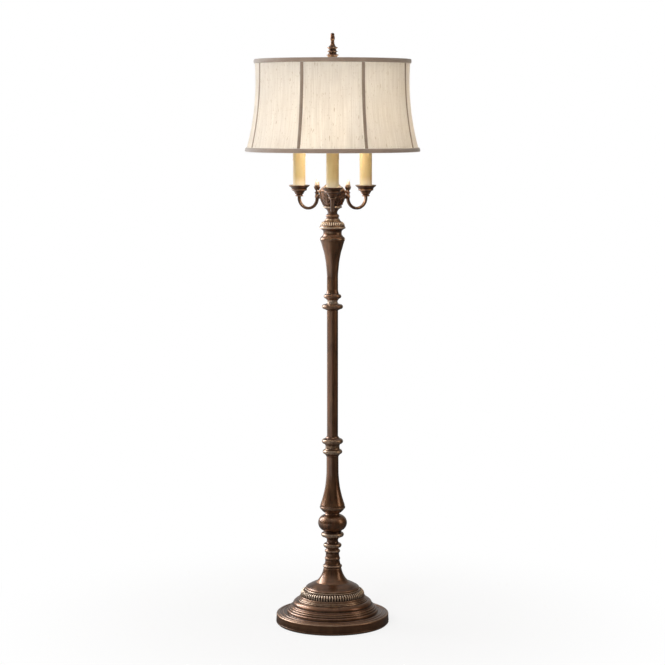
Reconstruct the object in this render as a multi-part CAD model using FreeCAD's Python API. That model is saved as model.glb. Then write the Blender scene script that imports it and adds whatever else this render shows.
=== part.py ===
import FreeCAD, Part
import math
import os

os.makedirs("parts", exist_ok=True)

# Driving dimensions in millimetres. The origin is on the floor, on the axis of the column, +Z up.

# Clearances
SEAT_GAP = 0.3          # between curved neighbours that only lie beside each other
THREAD_GAP = 0.05       # radial, a thread or a plug in its bore
PIPE_GAP = 0.4          # radial, the threaded pipe in the castings it clamps
PAST = 1.0              # how far a cutting tool runs past the metal
SHORTEST = 1e-6         # an edge shorter than this is left out

# Centre pipe, the hidden threaded tube that clamps the whole column
PIPE_R = 4.8
PIPE_WALL = 1.2
PIPE_END = 5.0          # thread that stands past the upper nut
PIPE_FOOT = 2.0         # thread that stands past the lower nut
PIPE_NUT_FLATS = 17.0
PIPE_NUT_T = 5.0

# Foot
FELT_T = 2.0
FELT_R = 157.0
FELT_HOLE_R = 40.0
FOOT_WALL = 8.0
FOOT_PLATE_T = 4.0      # metal under the outer edge of the plate
FOOT_DECK_T = 9.0
FOOT_CORE_R = 94.0      # hollow under the raised moulding, at the deck
FOOT_CORE_LOW_R = 118.0
FOOT_CORE_STEP = 14.0   # upright stretch of that hollow, above the plate's underside
FOOT_GROOVES = 4
FOOT_GROOVE_W = 2.6
FOOT_GROOVE_DEPTH = 0.9
WEIGHT_R = 138.0
WEIGHT_T = 13.0
WEIGHT_LIFT = 2.0       # air between the felt and the weight
WEIGHT_BOSS_R = 28.0
WASHER_R = 16.0
WASHER_T = 2.0
WASHER_RECESS = 10.0

# Inlet bushing for a supply lead, in the rear of the foot's rim
INLET_R = 3.6
INLET_SHANK_R = 6.9
INLET_FLANGE_R = 9.0
INLET_FLANGE_T = 2.0
INLET_HEIGHT = 15.0
INLET_SEAT_DEPTH = 1.6  # how far the flat for its flange is cut into the rim

# Straight shaft
SHAFT_R = 15.7
SHAFT_WALL = 1.5
SHAFT_LENGTH = 360.0
SPIGOT_LENGTH = 8.0

# Turned outlines. Each row is the radius reached, the rise from the row before,
# and how far the arc up to it bows outwards (negative for a hollow).
FOOT_RIM = [(158.5, 0.0, 0.0), (161.0, 4.0, 0.9), (159.8, 18.0, 0.0), (155.6, 6.0, 2.0)]
FOOT_PLATE_SLOPE = [(130.2, 3.0, 0.0)]
FOOT_MOULDING = [(129.2, 8.0, -0.9), (127.0, 3.6, 1.3), (124.0, 0.9, 0.0), (101.5, 22.0, 3.4),
                 (99.8, 0.6, 0.0), (98.0, 3.4, 1.2), (95.6, 0.5, 0.0), (94.6, 4.0, 1.4)]
GADROON_RING = [(92.0, 0.0, 0.0), (90.6, 3.6, 1.4), (88.6, 0.6, 0.0), (79.6, 15.0, 3.2),
                (78.0, 0.6, 0.0), (76.6, 3.2, 1.1)]
BASE_BELL = [(74.6, 0.0, 0.0), (74.4, 5.6, 2.0), (70.8, 2.2, 0.5), (48.0, 11.2, 0.9),
             (33.2, 17.5, -1.3), (26.2, 18.5, -0.7), (25.2, 4.5, 0.0)]
RINGED_NECK = [(25.0, 0.0, 0.0), (25.2, 2.0, 0.0), (23.8, 7.6, 2.7), (23.0, 1.0, 0.0),
               (20.4, 13.0, -0.4), (20.2, 8.0, 1.6), (19.0, 11.4, -0.3), (19.2, 1.4, 0.0),
               (18.8, 9.2, 2.9), (17.4, 2.4, 0.0)]
LOWER_SPOOL = [(17.6, 0.0, 0.0), (20.4, 3.0, -0.6), (20.0, 13.0, 5.6), (16.9, 3.2, -0.6),
               (16.2, 6.0, -0.4), (19.8, 6.3, -0.9)]
BALL_KNOP = [(21.2, 0.0, 0.0), (26.4, 3.0, -0.4), (26.0, 12.6, 6.3), (25.4, 3.0, -0.7),
             (27.6, 3.4, -0.5), (22.6, 44.5, 16.0), (20.0, 3.5, -0.5)]
LOWER_BALUSTER = [(19.8, 0.0, 0.0), (20.6, 1.5, 0.0), (33.6, 12.3, 1.2), (35.9, 3.2, 0.6),
                  (35.8, 3.6, 0.5), (34.7, 0.9, -0.3), (34.5, 4.4, 0.2), (25.2, 31.6, -0.5),
                  (19.7, 30.0, -0.6), (17.2, 31.0, -0.3), (17.0, 44.0, 0.0), (18.4, 4.0, -0.4)]
LOWER_COLLAR = [(18.6, 0.0, 0.0), (23.6, 5.5, -0.6), (23.8, 12.0, 4.2), (20.6, 3.0, -0.5),
                (20.2, 9.0, -0.5), (24.2, 5.0, -0.6), (24.4, 14.0, 5.8), (18.0, 4.5, -0.6),
                (17.4, 2.0, 0.0)]
UPPER_COLLAR = [(17.4, 0.0, 0.0), (24.2, 3.2, -0.4), (24.0, 13.0, 5.6), (15.6, 3.6, -0.9),
                (14.4, 4.0, -0.3), (15.8, 4.7, -0.4)]
UPPER_BALUSTER = [(16.4, 0.0, 0.0), (20.2, 4.5, -0.6), (20.0, 11.6, 4.8), (17.0, 5.0, -0.6),
                  (15.7, 12.0, -0.5), (15.6, 34.0, 0.0), (17.6, 25.0, -0.3), (21.3, 28.0, -0.5),
                  (28.2, 27.5, -0.7), (33.1, 17.0, -0.3), (33.6, 1.5, 0.0), (30.6, 12.6, 2.9),
                  (28.4, 3.3, -0.4)]
UPPER_CAP = [(27.4, 0.0, 0.0), (26.0, 5.0, -0.6), (26.4, 7.0, -0.4), (29.6, 4.0, -0.5),
             (33.0, 2.5, 0.0)]
DOME_FLANGE = [(33.4, 0.0, 0.0), (36.6, 3.4, 0.2), (36.4, 8.0, 2.2), (33.2, 1.8, -0.4),
               (21.4, 12.4, 2.4), (20.4, 1.9, 0.0)]
URN_FOOT = [(19.6, 0.0, 0.0), (16.8, 4.0, -0.6), (15.8, 9.0, 2.6), (13.4, 5.0, -0.7),
            (16.4, 7.0, -0.7), (24.6, 6.0, -0.9), (24.2, 5.0, 2.4)]
URN_BODY = [(21.4, 0.0, 0.0), (26.6, 10.0, 0.8), (32.8, 21.0, 1.6), (33.4, 8.0, 0.3),
            (34.6, 2.4, 0.2), (34.4, 4.6, 0.7), (33.4, 2.0, 0.0)]
URN_LID = [(33.0, 0.0, 0.0), (31.2, 2.2, 0.7), (16.4, 13.4, -0.7), (12.6, 3.0, 0.9),
           (9.6, 3.4, -0.6)]
DRIP_CUP = [(9.4, 0.0, 0.0), (10.9, 1.6, 0.4), (10.4, 1.9, 0.5), (8.6, 1.6, -0.4),
            (11.6, 1.9, 0.0), (12.0, 2.6, 0.6), (14.6, 2.4, 0.0), (14.8, 2.4, 0.5),
            (20.4, 2.6, 0.0), (21.2, 3.2, 0.9), (21.4, 0.8, 0.0), (27.4, 6.6, -1.2),
            (30.0, 4.0, -0.2), (29.2, 0.8, 0.3)]
ARM_BUD = [(4.4, 0.0, 0.0), (4.4, 5.6, 2.2), (4.0, 1.6, 0.0), (5.2, 2.4, -0.3), (8.4, 7.4, 0.6),
           (8.6, 3.0, 0.5), (6.8, 0.6, 0.0), (6.0, 8.0, 0.7), (0.8, 11.0, 1.1), (0.0, 0.4, 0.0)]
FINIAL = [(12.0, 0.0, 0.0), (12.3, 8.4, -0.3), (14.9, 3.6, -0.5), (15.0, 2.8, 0.9),
          (9.8, 4.0, -0.9), (9.8, 1.2, 0.0), (12.5, 2.0, -0.2), (12.4, 2.2, 0.7),
          (9.6, 3.0, -0.7), (9.6, 1.2, 0.0), (13.1, 3.6, -0.5), (13.0, 2.2, 0.8),
          (7.2, 4.6, -0.9), (5.0, 6.0, -0.3), (4.5, 6.0, 0.0), (5.4, 3.4, 0.0), (5.8, 8.0, 0.5),
          (4.5, 2.4, 0.0), (4.9, 3.0, 0.5), (1.6, 4.4, 1.3), (0.0, 0.6, 0.0)]
BULB = [(12.3, 0.0, 0.0), (12.6, 5.0, 0.0), (17.4, 33.0, 0.8), (13.4, 32.0, 1.4),
        (1.4, 23.0, 2.6), (0.0, 0.6, 0.0)]

# Hollows cast into the turned pieces: radius of the hollow and the metal left at each end
BELL_CORE_R = 20.0
BALL_CORE_R = 18.0
BALUSTER_CORE_R = 12.0
UPPER_BALUSTER_CORE_R = 10.5
CORE_END = 8.0
URN_CORE_R = 24.5
URN_FLOOR = 6.0
LID_CORE_R = 20.0
LID_CORE_H = 5.0

# Stem between the urn and the shade
STEM_R = 6.35
STEM_WALL = 1.4
STEM_LENGTH = 330.0
STEM_PLUG_LENGTH = 12.0
SEAT_FLANGE_R = 16.0
SEAT_FLANGE_T = 4.0
SEAT_SKIRT_R = 9.0
SEAT_SKIRT_H = 6.0
STUD_R = 3.15
STUD_LENGTH = 18.0

# Arms
ARM_COUNT = 3
ARM_FIRST_ANGLE = -90.0     # the first arm points to the front
ARM_REACH = 108.5           # column axis to candle axis
BUD_REACH = 50.0            # column axis to the inner upright
ARM_LIFT = 21.5             # centre of the bend above the urn body's seat
ARM_LOBE_R = 3.9            # the arm's section is two lobes side by side
ARM_LOBE_APART = 4.2
ARM_TOP_RISE = 3.5          # upright under the drip cup, above the centre of the bend
ARM_BUD_RISE = 12.5         # inner upright, above the centre of the bend
ARM_BORE_R = 2.3
BOSS_R = 5.5
BOSS_COLLAR_R = 7.0
BOSS_COLLAR_W = 4.0
KNUCKLE_R = 6.3
LEAD_TURN_R = 4.0           # the lead's turn from the boss down into the bend
LEAD_R = 1.5
LEAD_INSIDE = 3.0           # lead between the nipple and its splice
URN_PAD_REACH = 34.6        # flat face on the urn that the boss lies against
URN_PAD_R = 7.6
NIPPLE_R = 3.5
NIPPLE_IN_BOSS = 8.0
NIPPLE_INSIDE = 4.5
NUT_SPOT_R = 8.0            # flat inside the urn that the nut turns on
NUT_SPOT_DEPTH = 3.0
SMALL_NUT_FLATS = 12.0
SMALL_NUT_T = 3.0
WIRE_NUT_R = 4.5
WIRE_NUT_TIP_R = 3.0
WIRE_NUT_LENGTH = 9.0

# Drip cups, candles, sockets and bulbs
CUP_FLOOR = 25.5            # dish floor above the cup's seat
CUP_LIP_R = 28.8
CUP_DISH_R = 18.6
CUP_DISH_BOW = -0.6
CANDLE_R = 17.4
CANDLE_WALL = 1.7
CANDLE_LENGTH = 102.0
TENON_PAST_NUT = 2.0
LEG_T = 1.2
LEG_W = 10.0
LEG_REACH = 13.0
LEG_TAB = 8.0
SOCKET_R = 15.2
SOCKET_H = 38.0
SOCKET_FLOOR_T = 6.0
SOCKET_DROP = 2.0           # socket's mouth below the candle's top
SHELL_WALL = 0.6
SHELL_H = 28.0
CAP_R = 13.25
CAP_WALL = 0.9
CAP_H = 27.0
CAP_CONTACT_R = 4.5
CAP_CONTACT_H = 2.0
CAP_SHOULDER = 2.5
CAP_SHOULDER_BOW = 0.6
GLASS_T = 0.8

# Shade
SHADE_TOP_R = 216.0
SHADE_FLARE = 26.3          # how much wider the bottom edge is than the top edge
SHADE_H = 256.0
SHADE_STRAIGHT = 38.0       # upright stretch below the top edge
SHADE_RISE = 4.0            # top edge above the underside of the spider's hub
FABRIC_T = 0.8
LINER_T = 0.6
RIB_WIRE_R = 1.5
RIB_COUNT = 8
RIB_FIRST_ANGLE = 22.5
RING_WIRE_R = 1.6
SPOKE_COUNT = 4
SPOKE_R = 2.0
HUB_R = 15.0
HUB_T = 2.0
HUB_HOLE_R = 5.6
SPOKE_LAP = 1.0             # how far a spoke is brazed into the hub's edge
TRIM_T = 0.8
TRIM_H = 12.0
TRIM_FOLD = 3.0             # inner leg of the folded trim
TAPE_W = 9.0


def vec(x, y, z):
    return FreeCAD.Vector(x, y, z)


AXIS_Y = vec(0, 1, 0)
AXIS_Z = vec(0, 0, 1)


def height(outline):
    return sum(row[1] for row in outline)


def edge(start, end, bow):
    """A straight edge, or the arc that bows to the right of the way from start to end."""
    if bow == 0:
        return Part.LineSegment(start, end).toShape()
    way = end - start
    side = vec(way.z, 0, -way.x).normalize()
    middle = (start + end) * 0.5 + side * bow
    return Part.Arc(start, middle, end).toShape()


def ring_of(edges):
    """The solid that the closed outline sweeps round the column's axis."""
    return Part.Face(Part.Wire(edges)).revolve(vec(0, 0, 0), AXIS_Z, 360)


def turned(outline, seat, bore):
    """A lathe-turned piece on its seat, with a straight bore. A bore of 0 leaves it solid."""
    corners = []
    z = seat
    for radius, rise, bow in outline:
        z += rise
        corners.append((vec(radius, 0, z), bow))
    edges = []
    for (start, _), (end, bow) in zip(corners, corners[1:]):
        edges.append(edge(start, end, bow))
    first = corners[0][0]
    last = corners[-1][0]
    low = vec(bore, 0, seat)
    high = vec(bore, 0, z)
    if last.x - bore > SHORTEST:
        edges.append(edge(last, high, 0))
    edges.append(edge(high, low, 0))
    edges.append(edge(low, first, 0))
    return ring_of(edges)


def rod(radius, low, high):
    return Part.makeCylinder(radius, high - low, vec(0, 0, low))


def tube(outer, inner, low, high):
    return rod(outer, low, high).cut(rod(inner, low - PAST, high + PAST))


def hexagon_nut(flats, bore, low, thickness):
    corner_r = flats / 2 / math.cos(math.pi / 6)
    corners = []
    for k in range(7):
        angle = k * math.pi / 3
        corners.append(vec(corner_r * math.cos(angle), corner_r * math.sin(angle), low))
    block = Part.Face(Part.makePolygon(corners)).extrude(vec(0, 0, thickness))
    return block.cut(rod(bore, low - PAST, low + thickness + PAST))


def turn_about_axis(shape, angle):
    copy = shape.copy()
    copy.rotate(vec(0, 0, 0), AXIS_Z, angle)
    return copy


def lay_outwards(shape):
    """Turn a piece that stands on the axis so that it lies along +X."""
    copy = shape.copy()
    copy.rotate(vec(0, 0, 0), AXIS_Y, 90)
    return copy


def move(shape, x, y, z):
    copy = shape.copy()
    copy.translate(vec(x, y, z))
    return copy


def arm_angles():
    return [ARM_FIRST_ANGLE + k * 360.0 / ARM_COUNT for k in range(ARM_COUNT)]


# Heights of the seats, from the floor up

BORE = PIPE_R + PIPE_GAP
FOOT_OUTLINE_H = height(FOOT_RIM) + height(FOOT_PLATE_SLOPE) + height(FOOT_MOULDING)

z_foot = FELT_T
z_gadroon = z_foot + FOOT_OUTLINE_H
z_bell = z_gadroon + height(GADROON_RING)
z_neck = z_bell + height(BASE_BELL)
z_spool = z_neck + height(RINGED_NECK)
z_ball = z_spool + height(LOWER_SPOOL)
z_baluster = z_ball + height(BALL_KNOP)
z_collar = z_baluster + height(LOWER_BALUSTER)
z_shaft = z_collar + height(LOWER_COLLAR)
z_upper_collar = z_shaft + SHAFT_LENGTH
z_upper_baluster = z_upper_collar + height(UPPER_COLLAR)
z_cap = z_upper_baluster + height(UPPER_BALUSTER)
z_flange = z_cap + height(UPPER_CAP)
z_urn_foot = z_flange + height(DOME_FLANGE)
z_urn = z_urn_foot + height(URN_FOOT)
z_lid = z_urn + height(URN_BODY)
z_stem = z_lid + height(URN_LID)
z_hub = z_stem + STEM_LENGTH + SEAT_FLANGE_T

z_urn_floor = z_urn + URN_FLOOR
z_weight = z_foot + WEIGHT_LIFT
z_deck = z_gadroon - FOOT_DECK_T
z_washer = z_weight + WASHER_RECESS - WASHER_T
z_bend = z_urn + ARM_LIFT
z_boss = z_bend + LEAD_TURN_R
z_cup = z_bend + ARM_TOP_RISE
z_bud = z_bend + ARM_BUD_RISE
z_dish = z_cup + CUP_FLOOR
z_small_nut = z_dish + LEG_T
z_tenon_top = z_small_nut + SMALL_NUT_T + TENON_PAST_NUT
z_socket = z_dish + CANDLE_LENGTH - SOCKET_DROP - SOCKET_H
z_contact = z_socket + SOCKET_FLOOR_T
z_bulb = z_contact + CAP_H
z_shade_top = z_hub + SHADE_RISE
z_shade_bottom = z_shade_top - SHADE_H
z_shade_bend = z_shade_top - SHADE_STRAIGHT


# Foot

def foot_plate_outline():
    """The rim, the sloping plate with its fine turned grooves, and the raised moulding."""
    outer_r = FOOT_RIM[-1][0]
    inner_r, rise, _ = FOOT_PLATE_SLOPE[0]
    pitch = (outer_r - inner_r) / (FOOT_GROOVES + 1)
    fall = rise / (outer_r - inner_r)
    rows = list(FOOT_RIM)
    reached = outer_r
    for k in range(FOOT_GROOVES):
        near = outer_r - pitch * (k + 1) + FOOT_GROOVE_W / 2
        rows.append((near, (reached - near) * fall, 0.0))
        rows.append((near - FOOT_GROOVE_W, FOOT_GROOVE_W * fall, -FOOT_GROOVE_DEPTH))
        reached = near - FOOT_GROOVE_W
    rows.append((inner_r, (reached - inner_r) * fall, 0.0))
    return rows + FOOT_MOULDING


def foot_plate():
    """The foot, with a stepped hollow for the weight and a hole in its rear for the bushing."""
    hollow_top = z_foot + height(FOOT_RIM) - FOOT_PLATE_T
    core = [(FOOT_CORE_LOW_R, 0.0, 0.0), (FOOT_CORE_LOW_R, FOOT_CORE_STEP, 0.0),
            (FOOT_CORE_R, z_deck - hollow_top - FOOT_CORE_STEP, 0.0)]
    body = turned(foot_plate_outline(), z_foot, BORE)
    body = body.cut(rod(rim_inside(), z_foot - PAST, hollow_top)).cut(turned(core, hollow_top, 0))
    hole = rearwards(INLET_SHANK_R + THREAD_GAP, rim_inside() - PAST, inlet_seat() + PAST)
    flat = rearwards(INLET_FLANGE_R + SEAT_GAP, inlet_seat(), rim_outside() + PAST)
    return body.cut(hole).cut(flat)


def rim_outside():
    return FOOT_RIM[1][0]


def rim_inside():
    return rim_outside() - FOOT_WALL


def inlet_seat():
    return rim_outside() - INLET_SEAT_DEPTH


def rearwards(radius, near, far):
    """A rod that lies along +Y at the inlet's height."""
    return Part.makeCylinder(radius, far - near, vec(0, near, INLET_HEIGHT), AXIS_Y)


def cord_bushing():
    face = inlet_seat() + INLET_FLANGE_T
    shank = rearwards(INLET_SHANK_R, rim_inside(), inlet_seat())
    flange = rearwards(INLET_FLANGE_R, inlet_seat(), face)
    bore = rearwards(INLET_R, rim_inside() - PAST, face + PAST)
    return shank.fuse(flange).removeSplitter().cut(bore)


def base_weight():
    disc = rod(WEIGHT_R, z_weight, z_weight + WEIGHT_T)
    boss = rod(WEIGHT_BOSS_R, z_weight, z_deck)
    recess = rod(WASHER_R + SEAT_GAP, z_weight - PAST, z_weight + WASHER_RECESS)
    bore = rod(BORE, z_weight - PAST, z_deck + PAST)
    return disc.fuse(boss).removeSplitter().cut(recess).cut(bore)


def pipe_nuts():
    bore = PIPE_R + THREAD_GAP
    low = hexagon_nut(PIPE_NUT_FLATS, bore, z_washer - PIPE_NUT_T, PIPE_NUT_T)
    high = hexagon_nut(PIPE_NUT_FLATS, bore, z_urn_floor, PIPE_NUT_T)
    return Part.makeCompound([low, high])


def centre_pipe():
    low = z_washer - PIPE_NUT_T - PIPE_FOOT
    high = z_urn_floor + PIPE_NUT_T + PIPE_END
    return tube(PIPE_R, PIPE_R - PIPE_WALL, low, high)


# Column

def hollow_casting(outline, seat, core_r):
    """A turned casting whose bore opens into a wider hollow between its two ends."""
    top = seat + height(outline)
    return turned(outline, seat, BORE).cut(rod(core_r, seat + CORE_END, top - CORE_END))


def spigot(low):
    return tube(SHAFT_R - SHAFT_WALL - SEAT_GAP, BORE, low, low + SPIGOT_LENGTH)


def lower_collar():
    return turned(LOWER_COLLAR, z_collar, BORE).fuse(spigot(z_shaft)).removeSplitter()


def upper_collar():
    body = turned(UPPER_COLLAR, z_upper_collar, BORE)
    return body.fuse(spigot(z_upper_collar - SPIGOT_LENGTH)).removeSplitter()


# Urn and stem

def along_boss(shape):
    """Lay a piece that stands on the column's axis along +X, at the height of the arms' bosses."""
    return move(lay_outwards(shape), 0, 0, z_boss)


def urn_body():
    """The urn with one flat pad for each arm, bored for its nipple and hollow for the splices."""
    body = turned(URN_BODY, z_urn, BORE)
    body = body.cut(rod(URN_CORE_R, z_urn_floor, z_lid + PAST))
    pad = along_boss(rod(URN_PAD_R, URN_CORE_R - NUT_SPOT_DEPTH, URN_PAD_REACH))
    spot = along_boss(rod(NUT_SPOT_R, 0, URN_CORE_R))
    way = along_boss(rod(NIPPLE_R + THREAD_GAP, 0, URN_PAD_REACH + PAST))
    for angle in arm_angles():
        body = body.fuse(turn_about_axis(pad, angle))
        body = body.cut(turn_about_axis(spot, angle)).cut(turn_about_axis(way, angle))
    return body.removeSplitter()


def urn_lid():
    return turned(URN_LID, z_lid, STUD_R).cut(rod(LID_CORE_R, z_lid - PAST, z_lid + LID_CORE_H))


def stem_tube():
    """The tube with a solid foot and a threaded peg that drops into the lid."""
    body = tube(STEM_R, STEM_R - STEM_WALL, z_stem + STEM_PLUG_LENGTH, z_stem + STEM_LENGTH)
    foot = rod(STEM_R, z_stem, z_stem + STEM_PLUG_LENGTH)
    peg = rod(STUD_R - THREAD_GAP, z_lid + LID_CORE_H, z_stem)
    return body.fuse(foot).fuse(peg).removeSplitter()


def shade_seat():
    """The plug in the stem's mouth, the flange that carries the shade, and the finial's stud."""
    z_flange_low = z_hub - SEAT_FLANGE_T
    plug = rod(STEM_R - STEM_WALL - THREAD_GAP, z_flange_low - STEM_PLUG_LENGTH, z_flange_low)
    skirt = tube(SEAT_SKIRT_R, STEM_R + SEAT_GAP, z_flange_low - SEAT_SKIRT_H, z_flange_low)
    flange = rod(SEAT_FLANGE_R, z_flange_low, z_hub)
    stud = rod(STUD_R, z_hub, z_hub + HUB_T + STUD_LENGTH)
    return plug.fuse(skirt).fuse(flange).fuse(stud).removeSplitter()


def finial():
    low = z_hub + HUB_T
    bore = rod(STUD_R + THREAD_GAP, low - PAST, low + STUD_LENGTH + SEAT_GAP)
    return turned(FINIAL, low, 0).cut(bore)


# Arms. Each is made along +X and then turned to its place.

def lobed_section(x, z):
    """Two lobes side by side with a shallow groove between them, in a level plane."""
    half = ARM_LOBE_APART / 2
    waist = math.sqrt(ARM_LOBE_R ** 2 - half ** 2)
    near = vec(x - waist, 0, z)
    far = vec(x + waist, 0, z)
    right = Part.Arc(near, vec(x, half + ARM_LOBE_R, z), far).toShape()
    left = Part.Arc(far, vec(x, -half - ARM_LOBE_R, z), near).toShape()
    return Part.Face(Part.Wire([right, left]))


def round_section(x, z, radius):
    return Part.Face(Part.Wire(Part.makeCircle(radius, vec(x, 0, z), AXIS_Z)))


def bend(section_at_reach):
    centre = vec((ARM_REACH + BUD_REACH) / 2, 0, z_bend)
    return section_at_reach.revolve(centre, AXIS_Y, 180)


def lead_way(radius, inner_x, top):
    """A round way from inside the urn, through the boss and the bend, up to the candle."""
    turn_x = BUD_REACH - LEAD_TURN_R
    level = along_boss(rod(radius, inner_x, turn_x))
    disc = Part.Face(Part.Wire(Part.makeCircle(radius, vec(turn_x, 0, z_boss), vec(1, 0, 0))))
    corner = disc.revolve(vec(turn_x, 0, z_boss - LEAD_TURN_R), AXIS_Y, 90)
    low = bend(round_section(ARM_REACH, z_bend, radius))
    rise = move(rod(radius, z_bend, top), ARM_REACH, 0, 0)
    return level.fuse(corner).fuse(low).fuse(rise).removeSplitter()


def arm():
    body = bend(lobed_section(ARM_REACH, z_bend))
    body = body.fuse(lobed_section(ARM_REACH, z_bend).extrude(vec(0, 0, ARM_TOP_RISE)))
    body = body.fuse(lobed_section(BUD_REACH, z_bend).extrude(vec(0, 0, ARM_BUD_RISE)))
    tenon = move(rod(tenon_r(), z_bend, z_tenon_top), ARM_REACH, 0, 0)
    boss = along_boss(rod(BOSS_R, URN_PAD_REACH, BUD_REACH))
    collar = along_boss(rod(BOSS_COLLAR_R, URN_PAD_REACH, URN_PAD_REACH + BOSS_COLLAR_W))
    knuckle = Part.makeSphere(KNUCKLE_R, vec(BUD_REACH, 0, z_boss))
    body = body.fuse(tenon).fuse(boss).fuse(collar).fuse(knuckle)
    recess_end = URN_PAD_REACH + NIPPLE_IN_BOSS
    recess = along_boss(rod(NIPPLE_R + THREAD_GAP, URN_PAD_REACH - PAST, recess_end))
    body = body.cut(lead_way(ARM_BORE_R, URN_PAD_REACH - PAST, z_tenon_top + PAST))
    return body.cut(recess).removeSplitter()


def tenon_r():
    """The threaded peg on the arm that carries the cup is as wide as the arm is thick."""
    return ARM_LOBE_R


def arm_bud():
    return move(turned(ARM_BUD, z_bud, 0), BUD_REACH, 0, 0)


def arm_nipple():
    low = URN_CORE_R - NIPPLE_INSIDE
    high = URN_PAD_REACH + NIPPLE_IN_BOSS
    return along_boss(tube(NIPPLE_R, ARM_BORE_R, low, high))


def arm_nuts():
    """The nut inside the urn and the nut on the drip cup's floor."""
    inside = hexagon_nut(SMALL_NUT_FLATS, NIPPLE_R + THREAD_GAP, URN_CORE_R - SMALL_NUT_T, SMALL_NUT_T)
    top = hexagon_nut(SMALL_NUT_FLATS, tenon_r() + THREAD_GAP, z_small_nut, SMALL_NUT_T)
    return Part.makeCompound([along_boss(inside), move(top, ARM_REACH, 0, 0)])


def lead_inner_end():
    return URN_CORE_R - NIPPLE_INSIDE - LEAD_INSIDE


def arm_lead():
    return lead_way(LEAD_R, lead_inner_end(), z_socket)


def wire_nut():
    """The cap twisted onto the inner end of an arm's lead."""
    low = lead_inner_end() - WIRE_NUT_LENGTH
    return along_boss(Part.makeCone(WIRE_NUT_TIP_R, WIRE_NUT_R, WIRE_NUT_LENGTH, vec(0, 0, low)))


# Candles

def drip_cup():
    body = turned(DRIP_CUP, z_cup, tenon_r() + THREAD_GAP)
    top = z_cup + height(DRIP_CUP)
    rows = [(CUP_DISH_R, 0.0, 0.0), (CUP_LIP_R, top - z_dish, CUP_DISH_BOW),
            (CUP_LIP_R + PAST, PAST, 0.0)]
    return move(body.cut(turned(rows, z_dish, 0)), ARM_REACH, 0, 0)


def candle():
    body = tube(CANDLE_R, CANDLE_R - CANDLE_WALL, z_dish, z_dish + CANDLE_LENGTH)
    return move(body, ARM_REACH, 0, 0)


def socket_leg():
    """A strip bent to a C: its lower tab is clamped in the cup, its upper tab carries the socket."""
    length = LEG_REACH + LEG_TAB
    low = Part.makeBox(length, LEG_W, LEG_T, vec(-LEG_TAB, -LEG_W / 2, z_dish))
    high = Part.makeBox(length, LEG_W, LEG_T, vec(-LEG_TAB, -LEG_W / 2, z_socket - LEG_T))
    strip = Part.makeBox(LEG_T, LEG_W, z_socket - z_dish, vec(LEG_REACH - LEG_T, -LEG_W / 2, z_dish))
    body = low.fuse(high).fuse(strip).removeSplitter()
    body = body.cut(rod(tenon_r() + THREAD_GAP, z_dish - PAST, z_dish + LEG_T + PAST))
    body = body.cut(rod(LEAD_R + SEAT_GAP, z_socket - LEG_T - PAST, z_socket + PAST))
    return move(body, ARM_REACH, 0, 0)


def shell_inner_r():
    return CAP_R + THREAD_GAP


def shell_outer_r():
    return shell_inner_r() + SHELL_WALL


def socket():
    body = rod(SOCKET_R, z_socket, z_socket + SOCKET_H)
    pocket = rod(shell_outer_r() + THREAD_GAP, z_contact, z_socket + SOCKET_H + PAST)
    return move(body.cut(pocket), ARM_REACH, 0, 0)


def screw_shell():
    body = tube(shell_outer_r(), shell_inner_r(), z_contact, z_contact + SHELL_H)
    return move(body, ARM_REACH, 0, 0)


def bulb_cap():
    rows = [(CAP_CONTACT_R, 0.0, 0.0), (CAP_CONTACT_R, CAP_CONTACT_H, 0.0),
            (CAP_R, CAP_SHOULDER, CAP_SHOULDER_BOW), (CAP_R, CAP_H - CAP_CONTACT_H - CAP_SHOULDER, 0.0)]
    hollow_low = z_contact + CAP_CONTACT_H + CAP_SHOULDER + CAP_WALL
    body = turned(rows, z_contact, 0).cut(rod(CAP_R - CAP_WALL, hollow_low, z_bulb + PAST))
    return move(body, ARM_REACH, 0, 0)


def bulb():
    """Blown glass of even thickness, open at its neck."""
    tip_r, tip_rise, tip_bow = BULB[-2]
    hollow = [(radius - GLASS_T, rise, bow) for radius, rise, bow in BULB[:-2]]
    hollow.append((tip_r - GLASS_T, tip_rise - GLASS_T, tip_bow))
    mouth = rod(BULB[0][0] - GLASS_T, z_bulb - PAST, z_bulb + PAST)
    body = turned(BULB, z_bulb, 0).cut(turned(hollow, z_bulb, 0)).cut(mouth)
    return move(body, ARM_REACH, 0, 0)


def around(piece):
    """Copies of a piece made along +X, one for each arm."""
    return [turn_about_axis(piece, angle) for angle in arm_angles()]


# Shade

def flare_r():
    """Radius of the arc that the shade's side follows below its upright stretch."""
    drop = SHADE_H - SHADE_STRAIGHT
    return (drop ** 2 + SHADE_FLARE ** 2) / (2 * SHADE_FLARE)


def shade_bottom_r():
    return SHADE_TOP_R + SHADE_FLARE


def shade_r(z):
    if z >= z_shade_bend:
        return SHADE_TOP_R
    radius = flare_r()
    return SHADE_TOP_R + radius - math.sqrt(radius ** 2 - (z_shade_bend - z) ** 2)


def side_edges(offset, low, high):
    """The shade's side line, moved in or out by the offset, from a low to a high height."""
    edges = []
    arc_top = min(high, z_shade_bend)
    middle = (low + arc_top) / 2
    if low < arc_top:
        points = [vec(shade_r(z) + offset, 0, z) for z in (low, middle, arc_top)]
        edges.append(Part.Arc(*points).toShape())
    if high > z_shade_bend:
        start = max(low, z_shade_bend)
        edges.append(edge(vec(SHADE_TOP_R + offset, 0, start), vec(SHADE_TOP_R + offset, 0, high), 0))
    return edges


def skin(inner, outer, low, high, angle=360):
    """A layer between two offsets of the side line."""
    foot_edge = edge(vec(shade_r(low) + inner, 0, low), vec(shade_r(low) + outer, 0, low), 0)
    head_edge = edge(vec(shade_r(high) + outer, 0, high), vec(shade_r(high) + inner, 0, high), 0)
    edges = side_edges(inner, low, high) + side_edges(outer, low, high) + [foot_edge, head_edge]
    face = Part.Face(Part.Wire(Part.__sortEdges__(edges)))
    return face.revolve(vec(0, 0, 0), AXIS_Z, angle)


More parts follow.
